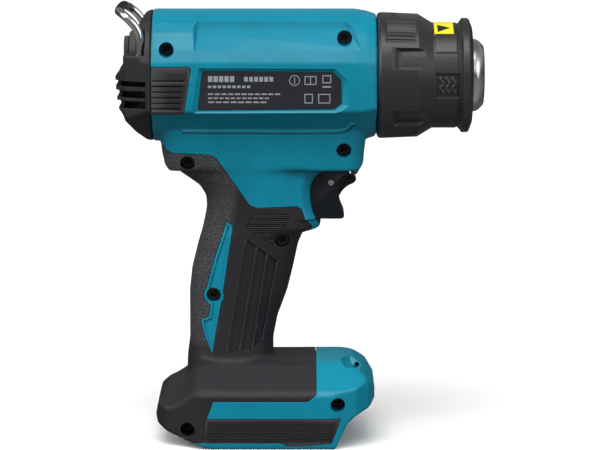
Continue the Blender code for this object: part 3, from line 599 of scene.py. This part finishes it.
def web_solid(inset=0):
    base = [(x, y, 138.2 + inset) for x, y in web_outline(inset)]
    middle = [(x, y, 147) for x, y in web_outline(inset - 0.6)]
    crown = [(x, y, 162) for x, y in web_outline(inset - 2.4)]
    web = skin_rings("web", [crown, middle, base])
    slope = [(-90, 146), (-68.7, 146), (-67.8, 141.3), (-64.8, 137), (-60, 133), (-90, 133)]
    cut(web, prism("rear_slope", [(x + inset, z) for x, z in slope], -40, 40))
    corner = [(28.6, 137), (31.7, 141.2), (45, 141.2), (45, 137)]
    return cut(web, prism("front_slope", [(x - inset, z) for x, z in corner], -40, 40))


def three_view(name, side, section, plan, inset):
    """The solid that three outlines share, each seen along its own axis."""
    body = prism(name, offset_outline(side, -inset), -60, 60)
    common(body, prism_x("section", offset_outline(section, -inset), -120, 120))
    return common(body, prism_z("plan", offset_outline(plan, -inset), -20, 260))


def both_sides(half_plan):
    """Complete a half plan, given as (x, y)."""
    return half_plan + [(x, -y) for x, y in reversed(half_plan) if y > 0]


def foot_solid(inset=0):
    """The foot, with its sides sloped off towards the heel."""
    foot = three_view("foot", FOOT_SIDE, mirrored(FOOT_HALF_SECTION), both_sides(FOOT_HALF_PLAN),
                      inset)
    low = 1.15 * inset  # the slope's own inset, straight down
    for side in (-1, 1):
        rear = [(4, 30 - low), (39, 13 - low), (45, 13 - low), (45, 45), (4, 45)]
        middle = [(9, 31.4 - low), (39, 17 - low), (45, 17 - low), (45, 45), (9, 45)]
        front = [(30, 38 - low), (41, 30 - low), (45, 30 - low), (45, 45), (30, 45)]
        rings = [[(x, side * y, z) for y, z in section]
                 for x, section in ((-80, rear), (-64, middle), (-49, front))]
        cut(foot, skin_rings("heel_slope", rings))
    return foot


def cover_solid(inset=0):
    section = [(y, AXIS_Z + z) for y, z in mirrored(BARREL_HALF_SECTION)]
    side = COVER_SIDE
    if inset > 0:
        side = [(-64, COVER_SIDE[0][1])] + side + [(-64, COVER_SIDE[-1][1])]
    return three_view("cover", side, section, both_sides(COVER_HALF_PLAN), inset)


def lower_body(inset=0, count=64):
    return join(handle_solid(inset, count), web_solid(inset), foot_solid(inset))


def flow_weight(x, z):
    """Where the grip runs into the foot and the web runs into the barrel."""
    foot = (step(z, 26, 30) * (1 - step(z, 50, 60)) * (1 - step(x, 2, 8))
            * (0.12 + 0.88 * step(x, -60, -50)))
    heel = 0.45 * step(z, 4, 10) * (1 - step(z, 47, 54)) * (1 - step(x, -54, -49))
    grip = 0.35 * band(z, 48, 132, 5) * (1 - step(x, -2, 2))
    web = 0.35 * band(z, 140, 155, 3) * band(x, -66, 27, 3)
    ledge = 0.9 * band(z, 134, 143, 4) * band(x, -58, 1, 4)
    brow = 0.5 * step(z, 30, 33) * (1 - step(z, 47, 54)) * step(x, 2, 8)
    return max(foot, heel, grip, web, ledge, brow)


def pocket_fillet():
    """The rounded rim that the grip and web form behind and above the trigger."""
    rings = []
    for y, back in [(-16.5, 5), (-14, 2.2), (-12.2, 0.5), (12.2, 0.5), (14, 2.2), (16.5, 5)]:
        arc = [(x - back, y, z + 0.35 * back * (z > 132)) for x, z in POCKET_ARC]
        rings.append(arc + [(25.0 - back, y, 146), (-4, y, 146), (-4, y, 112.6)])
    return skin_rings("fillet", rings)


def casing_skin():
    """The whole outside of the casing as one flowing closed skin."""
    whole = join(barrel_outer(), lower_body(), pocket_fillet())
    remeshed(whole, CASING_VOXEL, CASING_PASSES)
    return flowed(whole, flow_weight, FLOW_PASSES)


def flank_of(skin):
    """A function giving the half-width of the casing's skin at (x, z)."""
    tree = BVHTree.FromObject(skin, bpy.context.evaluated_depsgraph_get())

    def flank(x, z):
        hit = tree.ray_cast(Vector((x * MM, -0.1, z * MM)), Vector((0, 1, 0)))[0]
        return abs(hit.y) / MM if hit else 0.0

    return flank


def sunk_tool(flank, outline, depth, side):
    """A cutter over an (x, z) outline whose floor follows the surface, depth below it."""
    inner = [(x, side * (flank(x, z) - depth), z) for x, z in outline]
    outer = [(x, side * 40, z) for x, z in outline]
    return skin_rings("sunk", [outer, inner])


def along(ridge, t):
    return Vector(ridge[0]).lerp(Vector(ridge[1]), t)


def flute_tool(flank, ridge_a, ridge_b, side):
    """A cutter for one hollow between two ridges."""
    rings = []
    for k in range(RIDGE_STEPS + 1):
        t = k / RIDGE_STEPS
        a, b = along(ridge_a, t), along(ridge_b, t)
        ring = []
        for j, depth in enumerate(FLUTE_DEPTHS):
            x, z = a.lerp(b, 0.08 + 0.92 * j / (len(FLUTE_DEPTHS) - 1))
            ring.append((x, side * (flank(x, z) - depth), z))
        rings.append(ring + [(ring[-1][0], side * 40, ring[-1][2]),
                             (ring[0][0], side * 40, ring[0][2])])
    return skin_rings("flute", rings)


def ridge_line(flank, ridge, side):
    """The thin raised line along a ridge of the fluted panel."""
    points = []
    for k in range(RIDGE_STEPS + 1):
        x, z = along(ridge, 0.01 + 0.98 * k / RIDGE_STEPS)
        points.append((x, side * (flank(x, z) - 0.22), z))
    return swept("ridge_line", points, 0.42, 10)


def grip_cutters(flank, side):
    """The fluted panel and the fine ribbed panel above it."""
    tools = [flute_tool(flank, a, b, side) for a, b in zip(FLUTE_RIDGES, FLUTE_RIDGES[1:])]
    pitch, tall, deep = 0.98, 0.5, 0.55
    z = 101.0
    while z < 116.0:
        left = max(-27.2 + (z - 109.4) * 0.48, -27.2 + (109.4 - z) * 1.41)
        right = -12.8 + (z - 99.2) * 0.517
        if right - left > 1.5:
            middle = (left + right) / 2
            line = [(left, z), (middle, z), (right, z), (right, z + tall), (middle, z + tall),
                    (left, z + tall)]
            tools.append(sunk_tool(flank, line, deep, side))
        z += pitch
    return tools


def upper_panel(side):
    """Cutter for the sunk upper panel: a steep wall, then a floor that faces up."""
    cross = [(17.2, 32.5), (17.8, 28), (18.6, 25), (19.8, 24.1), (29.9, 15), (40, 15),
             (40, 40), (17.2, 40)]
    rings = []
    for x, slope, lift in [(-53.4, -0.1, 3), (-50.6, -0.1, 0), (21.8, 0.72, 0),
                           (25.6, 0.72, 3)]:
        rings.append([(x + slope * (27.0 - min(z, 27)), side * (y + lift),
                       AXIS_Z + z + 0.7 * lift) for y, z in cross])
    return skin_rings("panel", rings)


def barrel_cutters(flank, side):
    """The sunk upper panel, the frame round the plate and the crease above the web."""
    frame_cut = skin_rings("frame", [
        [(x, side * (SIDE_FLAT + 0.3), z) for x, z in offset_outline(PLATE_LIP, 0.3)],
        [(x, side * (SIDE_FLAT - 1.5), z) for x, z in offset_outline(PLATE_OUTLINE, 1)]])
    crease = swept("crease", [(x, side * (flank(x, z) + 0.15), z) for x, z in CREASE], 0.85, 12)
    return [upper_panel(side), frame_cut, crease]


def crease_bead(flank, side):
    """The soft roll just above the crease."""
    up, sunk, radius = 1.5, 0.55, 1.2
    path = [(x, side * (flank(x, z + up) - sunk), z + up) for x, z in CREASE]
    return swept("bead", path, radius, 12)


def battery_channel():
    wide = block("channel", (-46, -31, 4), (60, 31, 14))
    return join(wide, block("mouth", (-46, -27.5, -5), (60, 27.5, 5)))


def housing_cavity():
    hollow = barrel_cavity()
    join(hollow, prism_z("web_cavity", web_outline(CORE_WALL + 0.4), 140.8, 170))
    join(hollow, handle_solid(SKIN + GAP + CORE_WALL, 12, 3, (150, -64, 4, 19.4)))
    join(hollow, block("foot_cavity", (-48, -29.5, 17), (26, 29.5, 33)))
    return cut(hollow, *[rod_y("boss", x, z, 5.0 if z > 60 else 5.4, -44, 44, 24)
                         for x, z, _, _ in SCREWS])


def trigger_window():
    reach = TRIGGER_HALF + 0.4
    return block("trigger_window", (-6, -reach, 112.5), (14, reach, 137.8))


def bumper_cutters():
    outline = offset_outline(BUMPER_REGION, GAP)
    return [prism("bumper_cut", outline, *span(side, FOOT_HALF - SKIN - GAP, 60))
            for side in (-1, 1)]


def head_holes():
    """Bores over the housing screws, which all go in from the right."""
    return [rod_y("head_hole", x, z, SCREW_HOLE_R, -reach - 10, -seat, 48)
            for x, z, seat, reach in SCREWS]


def bushes(radius):
    """Rods down to the head seats of the screws that come out through the overmould."""
    return [rod_y("bush", x, z, radius, -reach + 3, -seat + 0.4, 32)
            for x, z, seat, reach in (SCREWS[2], SCREWS[4], SCREWS[7])]


def inlay_ring(radius):
    """A rod round the screw that sits in the inlay."""
    x, z = SCREWS[5][:2]
    return rod_y("inlay_ring", x, z, radius, -70, 70, 48)


def hull_of(points):
    bm = bmesh.new()
    for point in points:
        bm.verts.new(point)
    found = bmesh.ops.convex_hull(bm, input=bm.verts)
    bmesh.ops.delete(bm, geom=found["geom_interior"], context="VERTS")
    return new_object("hull", bm)


def eyelet_cutters():
    """The recess in the right front shoulder of the foot, with a cord hole in its back wall."""
    rim = [(25, 0.5, 42), (19.2, -15, 43), (22.6, -24, 39.4), (32, -23, 38),
           (31.8, -4, 38)]
    floor = [(25.8, -3, 37.2), (22.4, -14.5, 38.4), (24.4, -20.8, 36.2), (30.2, -20, 34.4),
             (30.2, -5.5, 34.2)]
    above = [(x, y, z + 7) for x, y, z in rim]
    return [hull_of(rim + floor + above), rod_y("cord_hole", 29, 36.4, 1.3, -20, 8, 24)]


def make_housing(skin):
    lower_teal = copy_of(skin)
    black = prism("black", offset_outline(BLACK_REGION, GAP), -60, 60)
    cut(black, prism("inlay", offset_outline(INLAY_REGION, -GAP), -70, 70), inlay_ring(5))
    cut(black, block("keep_barrel", (-80, -70, 151.8), (60, 70, 260)))
    cut(lower_teal, black)
    cut(lower_teal, *bumper_cutters())
    body = join(lower_teal, lower_body(SKIN + GAP, 32))
    flank = flank_of(skin)
    for side in (-1, 1):
        join(body, crease_bead(flank, side))
        cut(body, *barrel_cutters(flank, side))
        cut(body, prism("plate_pocket", offset_outline(PLATE_OUTLINE, 0.4),
                        *span(side, SIDE_FLAT - 2.2, 50)))
        outline = [(x - 3.0 if x < -73 else x, z) for x, z in offset_outline(PAD_OUTLINE, GAP)]
        cut(body, prism("pad_pocket", outline, *span(side, SIDE_FLAT - 2, 50)))
        inner = offset_outline(INLAY_REGION, -1.5)
        sunk = prism("inlay_floor", inner, *span(side, 10, 40))
        cut(body, cut(sunk, handle_solid(0.75)))
    cut(body, *eyelet_cutters(), housing_cavity(), battery_channel(), trigger_window())
    cut(body, block("lead_way", (-30, -8, 12), (-22, 8, 40)))
    cut(body, turned_solid("front_hole", [(30, 22), (45, 22)]))
    cut(body, block("lamp_pocket", (25, -8.6, 130), (35, 8.6, 138.6)))
    for side, tag in SIDES:
        half = common(copy_of(body), half_space(side))
        if side < 0:
            cut(half, *head_holes(), *bushes(4.7))
        stand_in(half, "housing_" + tag, "housing", "teal_plastic")
    bpy.data.objects.remove(body)


def make_overmoulds(skin):
    flank = flank_of(skin)
    whole = copy_of(skin)
    region = prism("region", BLACK_REGION, -60, 60)
    cut(region, prism("inlay", INLAY_REGION, -70, 70), inlay_ring(5.3))
    common(whole, region)
    cut(whole, lower_body(SKIN, 32), barrel_outer(GAP), battery_channel(), trigger_window())
    cut(whole, *bumper_cutters())
    for side in (-1, 1):
        cut(whole, *grip_cutters(flank, side))
        join(whole, *[ridge_line(flank, ridge, side) for ridge in FLUTE_RIDGES])
    for side, tag in SIDES:
        half = common(copy_of(whole), half_space(side))
        if side < 0:
            join(half, *[common(bush, lower_body(0.6, 32)) for bush in bushes(4.4)])
            cut(half, *head_holes())
        stand_in(half, "grip_overmould_" + tag, "housing", "black_elastomer")
    bpy.data.objects.remove(whole)


def vee_groove(side, bottom, mouth, z, x_low, x_high):
    """A cutter for a level V groove, from its bottom out to its mouth."""
    section = [(side * bottom, z), (side * mouth, z + 0.9), (side * mouth, z - 0.9)]
    return prism_x("groove", section, x_low, x_high)


def make_bumper_pads():
    """Ribbed pads on the foot, with a plain bevelled band along the top."""
    top, pitch = 12.9, 1.1
    for side, tag in SIDES:
        pad = prism("pad", softened(BUMPER_REGION, 1),
                    *span(side, FOOT_HALF - SKIN, FOOT_HALF + 5))
        common(pad, foot_solid())
        for k in range(8):
            z = top - pitch * k
            bottom = FOOT_HALF - 0.55 - 0.2 * (z < 6)
            rear = -45.6 if z > 4.6 else -8.0
            cut(pad, vee_groove(side, bottom, 41, z, rear, 18.5 - (top - z) * 0.38))
        stand_in(pad, "bumper_pad_" + tag, "housing", "black_elastomer", angle=25)


def swept(name, path, radius, sides=16):
    """Sweep a round section along a path, with the section kept square to it."""
    rings = []
    side = None
    for k, point in enumerate(path):
        ahead = Vector(path[min(k + 1, len(path) - 1)]) - Vector(path[max(k - 1, 0)])
        ahead.normalize()
        if side is None:
            side = ahead.orthogonal().normalized()
        side = (side - ahead * side.dot(ahead)).normalized()
        other = ahead.cross(side)
        rings.append([Vector(point) + radius * (side * cos(a) + other * sin(a))
                      for a in (tau * i / sides for i in range(sides))])
    return skin_rings(name, rings)


def curved(points):
    """A smooth path through the points."""
    steps = 6
    points = [Vector(p) for p in points]
    ends = [points[0] * 2 - points[1]] + points + [points[-1] * 2 - points[-2]]
    path = []
    for p0, p1, p2, p3 in zip(ends, ends[1:], ends[2:], ends[3:]):
        for k in range(steps):
            t = k / steps
            path.append(0.5 * (2 * p1 + (p2 - p0) * t + (2 * p0 - 5 * p1 + 4 * p2 - p3) * t * t
                               + (3 * p1 - p0 - 3 * p2 + p3) * t ** 3))
    return path + [points[-1]]


def make_barrel_trim():
    top, pitch = 185, 2.75
    for side, tag in SIDES:
        plate = prism("plate", softened(PLATE_OUTLINE, 0.8),
                      *span(side, SIDE_FLAT - 2.1, SIDE_FLAT - 1.5))
        stand_in(plate, "rating_plate_" + tag, "housing", "plate_black")
        marks = plate_marks(side)
        show(marks, "plate_marks_" + tag, "housing", "plate_black", material=PRINT)
        pad = prism("pad", softened(PAD_OUTLINE, 0.9), *span(side, SIDE_FLAT - 1.7, SIDE_FLAT + 5))
        common(pad, barrel_outer())
        for k in range(6):
            z = top - pitch * k
            cut(pad, vee_groove(side, 31.9, 36, z, -75, -56.2 - (190.6 - z) * 0.161))
        stand_in(pad, "side_pad_" + tag, "housing", "black_plastic")


def plate_marks(side):
    """Plain dashes and simple outlines, standing where a plate carries its print."""
    low, high = span(side, SIDE_FLAT - 1.6, SIDE_FLAT - 1.42)
    marks = None
    # Left end, right end, foot and height of a row, then its dash and gap
    rows = [(-45.4, -30, 184.4, 3, 2.2, 0.5), (-27.6, -12.8, 184.6, 2.4, 1.9, 0.6),
            (-45.4, -24, 181.4, 1.3, 1.7, 0.7), (-45.4, -7, 178, 0.8, 2.6, 0.7),
            (-45.4, -14, 176, 0.8, 2.1, 0.7), (-45.4, -16, 174, 0.8, 3, 0.7)]
    for left, right, base, tall, dash, gap in rows:
        x = left
        while x + dash <= right:
            bar = block("dash", (x, low, base), (x + dash, high, base + tall))
            marks = bar if marks is None else join(marks, bar)
            x += dash + gap
    for x0, z0, x1, z1 in [(2.2, 183, 8.2, 187.4), (11, 183.8, 15.4, 187.8),
                           (2.2, 173.8, 6.4, 178.6), (9, 173.8, 15, 178.6)]:
        frame_mark = block("frame", (x0, low, z0), (x1, high, z1))
        marks = join(marks, cut(frame_mark, block("inside", (x0 + 0.5, low - 1, z0 + 0.5),
                                                  (x1 - 0.5, high + 1, z1 - 0.5))))
    join(marks, block("spine", (4.95, low, 183.2), (5.45, high, 187.2)),
         block("bar", (11, low, 181.6), (15.4, high, 182.4)),
         block("tick", (-2.9, low, 183.6), (-2.4, high, 186.8)))
    ring = rod_y("ring", -2.65, 185.2, 2.7, low, high)
    return join(marks, cut(ring, rod_y("ring_hole", -2.65, 185.2, 2.25, low - 1, high + 1)))


# ---- rear cover, hook and dial

def cover_spigot():
    """A rim inside the barrel's mouth, so that nothing shows through the seam."""
    radius = CAVITY_R - 0.4
    return turned("rim", [(-76, radius), (-71.6, radius), (-71.6, radius - 1.2),
                          (-76, radius - 1.2)])


def make_rear_cover():
    cover = remeshed(cover_solid(), COVER_VOXEL, COVER_PASSES)
    hollow = cover_solid(CORE_WALL)
    for side in (-1, 1):
        cut(hollow, side_block(side, 18.6, 40, -90, -74.5, 188.6, 220))
    cut(hollow, block("dial_boss", (-90, -14, 183.2), (-77.6, 14, 220)))
    cut(hollow, block("centre_rib", (-95, -1.2, 167.5), (-77.2, 1.2, 189)))
    cut(cover, hollow)
    join(cover, cover_spigot())
    cut(cover, block("dial_recess", (-95, -11.5, 185.8), (-80.4, 11.5, 212)))
    cut(cover, turned_solid("spindle_hole", [(-90, 3.4), (-60, 3.4)], 32, DIAL_Z))
    for side in (-1, 1):
        cut(cover, side_block(side, 22.3, 40, -95, -76.9, 197.2, 230),
            side_block(side, HOOK_HALF - 2.7, HOOK_HALF + 2.7, -95, -76.6, 190.4, 230),
            rod_y("hook_bore", *HOOK_PIVOT, WIRE_R + 0.3, *span(side, HOOK_HALF - 5, HOOK_HALF),
                  24))
        for vent in ((181.8, 184.6), (176.2, 179.8), (171, 174.8)):
            cut(cover, side_block(side, 3, 16, -96, -86, *vent),
                side_block(side, 15, 40, -96, -76.2, *vent))
        for z in (207, 209.6, 212.2):
            cut(cover, side_block(side, 9, 20.5, -86, -78.9, z, z + 1.2))
    cut(cover, block("switch_window", (-96, -4.6, 159.9), (-78.8, 4.6, 164.1)))
    stand_in(cover, "rear_cover", "housing", "black_plastic")


def make_hook():
    px, pz = HOOK_PIVOT
    bends = [  # x from the pivot, y in from the wire's widest, z from the pivot
        (0, 4.4, 0), (0, 1.4, 0), (0, 0.3, 0.5), (0, 0, 2), (0.2, 0, 12), (-1.2, 0, 16.4),
        (-3.4, 0.2, 19.6), (-6.4, 1, 22.4), (-9, 4.2, 24.2), (-10.4, 10.5, 24.8)]
    half = [(px + x, HOOK_HALF - inward, pz + z) for x, inward, z in bends]
    path = curved(half + [(x, -y, z) for x, y, z in reversed(half)])
    hook = swept("hook", path, WIRE_R - 0.03, 24)
    stand_in(hook, "hook", "hook", "wire_chrome", angle=60)


def make_dial():
    seat = turned("seat", [(-85.6, 4), (-85.6, 9.6), (-85.3, 10.1), (-84.8, 10.4), (-80.7, 10.4),
                           (-80.7, 4)], 64, DIAL_Z)
    stand_in(seat, "dial_seat", "housing", "grey_plastic")
    teeth, per_tooth = 32, 4
    rings = []
    for x, r in [(-77, 3), (-86, 3), (-86, DIAL_R), (-87.9, DIAL_R), (-88.4, DIAL_R - 0.6),
                 (-88.4, 4.6), (-87.9, 4.2)]:
        ring = []
        for k in range(teeth * per_tooth):
            notch = 0.35 * (k % per_tooth >= 2) if r > 7 else 0
            angle = tau * k / (teeth * per_tooth)
            ring.append(turned_point(x, r - notch, angle, DIAL_Z))
        rings.append(ring)
    dial = skin_rings("dial", rings)
    cut(dial, block("pointer", (-92, -0.5, DIAL_Z + 4.8), (-88, 0.5, DIAL_Z + 7.2)))
    stand_in(dial, "temperature_dial", "temperature_dial", "grey_plastic")


# ---- nozzle and guard

def make_nozzle():
    profile = [(0, 15.2), (44.5, 15.2), (46.5, 16.2), (49, 18.2), (87.6, 18.2), (88.8, 17.9),
               (89.8, 17.3), (90.8, 16.4), (91.6, 15.5), (92.1, 15), (92.3, 14.5), (92.2, 13.8),
               (91.4, 14.3), (90.4, 15.4), (89.4, 16.4), (87.6, 17.2), (49.5, 17.2), (45, 14.2),
               (0, 14.2)]
    stand_in(turned("tube", profile, 96), "nozzle_tube", "housing", "polished_steel", angle=50)


def guard_profile():
    """The guard's outer (x, r) points, close together so that relief can be laid on them."""
    count = 190
    corners = [(38.6, 27), (38.6, 30.2), (39, 31), (40.2, 31.8), (59, 31), (66.3, 26.5),
               (79.4, 26.5), (80.2, 27.2), (81.2, 28.8), (84, 28.8), (84.9, 28), (85.3, 26.8),
               (86.2, 24.6)]
    lengths = [dist(a, b) for a, b in zip(corners, corners[1:])]
    points = []
    for a, b, length in zip(corners, corners[1:], lengths):
        pieces = max(1, round(count * length / sum(lengths)))
        points += [(a[0] + (b[0] - a[0]) * k / pieces, a[1] + (b[1] - a[1]) * k / pieces)
                   for k in range(pieces)]
    return points + [corners[-1]]


def from_nearest(degrees, first, pitch):
    """The angle from the nearest of a ring of features."""
    return (degrees - first + pitch / 2) % pitch - pitch / 2


def guard_relief(x, r, degrees):
    """How far the guard's surface sits below its turned shape."""
    sector = from_nearest(degrees, 21.6, 60)
    flat = band(sector, -8.6, 8.6, 1.2) * step(x, 45.4, 50.4)
    depth = flat * max(0, r - 28.9) if x < 67 else 0.0
    depth += 0.5 * band(x, 41, 63, 1.5) * (1 - cos(radians(sector * 1.2)))
    patch, rib_pitch = from_nearest(degrees, 53, 120), 4.4
    ribbed = band(patch, -15.5, 15.5, 0.6) * band(x, 43.2, 57.2, 0.9)
    wave = cos(radians(patch * 360.0 / rib_pitch))
    depth += ribbed * (0.15 + 0.6 * step(wave, -0.2, 0.5))
    front_groove = band(x, 78.6, 79.2, 0.3)
    tab = band(degrees, 31, 56, 1) * band(x, 67.4, 78, 0.4)
    return depth + 0.4 * front_groove - 0.35 * tab


def symbol_relief(x, degrees):
    """A sunk square with three plain wavy lines for heat."""
    across = (degrees + 6) * radians(26.5)
    sunk = band(x, 67.9, 78.9, 0.25) * band(across, -6, 6, 0.25)
    lines = 0.0
    for centre in (-3, 0, 3):
        wave = 73.4 + centre + 0.8 * sin(across * 1.3)
        lines = max(lines, band(x, wave - 0.5, wave + 0.5, 0.3) * band(across, -4.2, 4.2, 0.3))
    return sunk - 0.8 * lines


def make_guard():
    segments = 420
    rings = []
    for x, r in guard_profile():
        ring = []
        for k in range(segments):
            angle = tau * k / segments
            degrees = 180.0 - in_degrees(angle)
            degrees = (degrees + 180) % 360.0 - 180.0
            radius = r - guard_relief(x, r, degrees) - symbol_relief(x, degrees)
            ring.append(turned_point(x, radius, angle))
        rings.append(ring)
    bore = [(86.2, 21.6), (83, 21.6), (81.5, 23), (64, 23), (58.6, 27)]
    guard = skin_rings("guard", rings + turned_rings(bore, segments), closed=True)
    stand_in(guard, "protector_sleeve", "protector_sleeve", "black_plastic",
         angle=40, material=LOOKS["guard"])
    sticker = turned("sticker", [(66.9, 26.6), (66.9, 26.72), (76.6, 26.72), (76.6, 26.6)], 180)
    common(sticker, block("patch", (60, -15.4, AXIS_Z + 8), (90, 7, AXIS_Z + 40)))
    stand_in(sticker, "caution_sticker", "protector_sleeve", "caution_yellow",
         angle=60)
    mark = turned("mark", [(68.4, 26.68), (68.4, 26.8), (75.2, 26.8), (75.2, 26.68)], 180)
    common(mark, prism_z("triangle", [(68.6, -13.6), (75, -10.2), (68.6, -6.8)], 200, 230))
    show(mark, "caution_mark", "protector_sleeve", "caution_yellow", material=DARK_PRINT, angle=60)


# ---- trigger group

def make_trigger():
    trigger = prism("trigger", softened(TRIGGER_OUTLINE, 2.2, 5), -TRIGGER_HALF, TRIGGER_HALF)
    rounded(trigger, 1.6, 4, 40)
    cut(trigger, block("lever_slot", (10.6, -4.1, 121.6), (40, 4.1, 145)))
    cut(trigger, turned_solid("spring_bore", [(-5, 3.1), (8.9, 3.1)], 32, SPRING_Z))
    cut(trigger, rod_y("pin_hole", *LEVER_PIVOT, PIN_HOLE_R, -30, 30, 24))
    join(trigger, turned_solid("plunger", [(-9, 2), (2, 2)], 24, 128))
    stand_in(trigger, "trigger", "trigger", "trigger_plastic")
    lever = prism("lever", softened(LEVER_OUTLINE, 1.4, 5), -3.7, 3.7)
    rounded(lever, 0.7, 3, 40)
    cut(lever, rod_y("pin_hole", *LEVER_PIVOT, PIN_HOLE_R, -30, 30, 24))
    stand_in(lever, "lock_lever", "lock_lever", "trigger_plastic")
    make_trigger_spring()


def make_trigger_spring():
    """The return spring: its rear end sits on the switch and its front on the trigger."""
    low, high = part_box("trigger_spring")
    turns, per_turn, coil_r, wire_r = 6, 32, 2.2, 0.35
    count = turns * per_turn
    rear, front = low[0] / MM + wire_r, high[0] / MM - wire_r
    points = [turned_point(rear + (front - rear) * k / count, coil_r, tau * k / per_turn, SPRING_Z)
              for k in range(count + 1)]
    spring = swept("spring", points, wire_r, 10)
    stand_in(spring, "trigger_spring", "housing", "wire_chrome", angle=60)
    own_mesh(spring)


# ---- stage

def dress_cad_nodes():
    """Every CAD node that still shows takes the look of its own material slot."""
    slots = {s["node"]: s["material_slot"] for s in frame["record"]["subparts"]}
    for name, node in frame["nodes"].items():
        node.data.materials.clear()
        node.data.materials.append(LOOKS[slots[name]])


def soft_sun(name, strength, spread, towards, mirrored_in_gloss=True):
    """A sun that lights from the given direction, with a disc spread degrees wide."""
    light = bpy.data.lights.new(name, "SUN")
    light.energy = strength
    light.angle = radians(spread)
    lamp = add_object(name, light)
    lamp.rotation_euler = Vector(towards).to_track_quat("Z", "Y").to_euler()
    lamp.visible_glossy = mirrored_in_gloss


def set_piece(name, bm, **sockets):
    """Part of the set round the tool: no other surface is lit by it or mirrors it."""
    obj = mesh_object(name, bm)
    mat = bpy.data.materials.new(name)
    mat.use_nodes = True
    feed(mat.node_tree, mat.node_tree.nodes["Principled BSDF"], **sockets)
    obj.data.materials.append(mat)
    obj.visible_diffuse = obj.visible_glossy = False
    return obj


def make_floor():
    bm = bmesh.new()
    bmesh.ops.create_grid(bm, x_segments=1, y_segments=1, size=30)
    floor = set_piece("floor", bm, Base_Color=(0.93, 0.93, 0.93, 1), Roughness=0.9)


def make_backdrop():
    """A white wall all round, far off, that shows above the floor in low views."""
    bm = bmesh.new()
    bmesh.ops.create_cone(bm, cap_ends=False, segments=64, radius1=9, radius2=9, depth=24)
    wall = set_piece("backdrop", bm, Base_Color=(0, 0, 0, 1), Emission_Color=(1, 1, 1, 1),
                     Emission_Strength=1)
    wall.visible_transmission = wall.visible_shadow = False


def make_world():
    """A studio sky: dark round the horizon, a bright band above it, and weaker behind the tool."""
    world = bpy.data.worlds.new("studio")
    world.use_nodes = True
    tree = world.node_tree
    split = tree.nodes.new("ShaderNodeSeparateXYZ")
    tree.links.new(tree.nodes.new("ShaderNodeTexCoord").outputs["Generated"], split.inputs[0])
    ramp = tree.nodes.new("ShaderNodeValToRGB")
    tree.links.new(ranged(tree, split.outputs["Z"], 0, 1, -1, 1), ramp.inputs[0])
    stops = [(0, 0.30), (0.40, 0.22), (0.49, 0.08), (0.60, 0.08), (0.72, 0.80), (0.82, 0.46),
             (1, 0.30)]
    for place, _ in stops[1:-1]:
        ramp.color_ramp.elements.new(place)
    for element, (place, level) in zip(ramp.color_ramp.elements, stops):
        element.position = place
        element.color = (level, level, level, 1)
    tree.links.new(ramp.outputs[0], tree.nodes["Background"].inputs["Color"])
    tree.links.new(ranged(tree, split.outputs["Y"], 1, 0.4, -0.15, 0.25),
                   tree.nodes["Background"].inputs["Strength"])
    bpy.context.scene.world = world


def make_stage():
    make_floor()
    make_backdrop()
    make_world()
    soft_sun("key", 1.45, 48, (0, -0.8, 1), mirrored_in_gloss=False)
    soft_sun("sheen", 1.25, 36, (-0.1, -0.45, 1))
    soft_sun("fill_front", 0.6, 45, (0.75, -0.65, 0.4))
    soft_sun("fill_rear", 1.2, 45, (-0.85, -0.5, 0.55))
    soft_sun("back", 1.3, 60, (-0.2, 0.95, 0.12), mirrored_in_gloss=False)
    bpy.context.scene.view_settings.view_transform = "Standard"


def make_camera():
    """From the tool's right and a little above, with view_width metres across the picture."""
    target, distance, elevation = Vector((0, 0, 0.108)), 1.5, radians(9)
    sensor, view_width = 36, 0.3048
    camera = bpy.data.cameras.new("camera")
    camera.sensor_width = sensor
    camera.lens = sensor * distance / view_width
    holder = add_object("camera", camera)
    back = Vector((0, -cos(elevation), sin(elevation)))
    holder.location = target + back * distance
    holder.rotation_euler = back.to_track_quat("Z", "Y").to_euler()
    bpy.context.scene.camera = holder


make_camera()
make_stage()
casing = casing_skin()
make_housing(casing)
make_overmoulds(casing)
bpy.data.objects.remove(casing)
make_bumper_pads()
make_barrel_trim()
make_rear_cover()
make_hook()
make_dial()
make_nozzle()
make_guard()
make_trigger()
dress_cad_nodes()
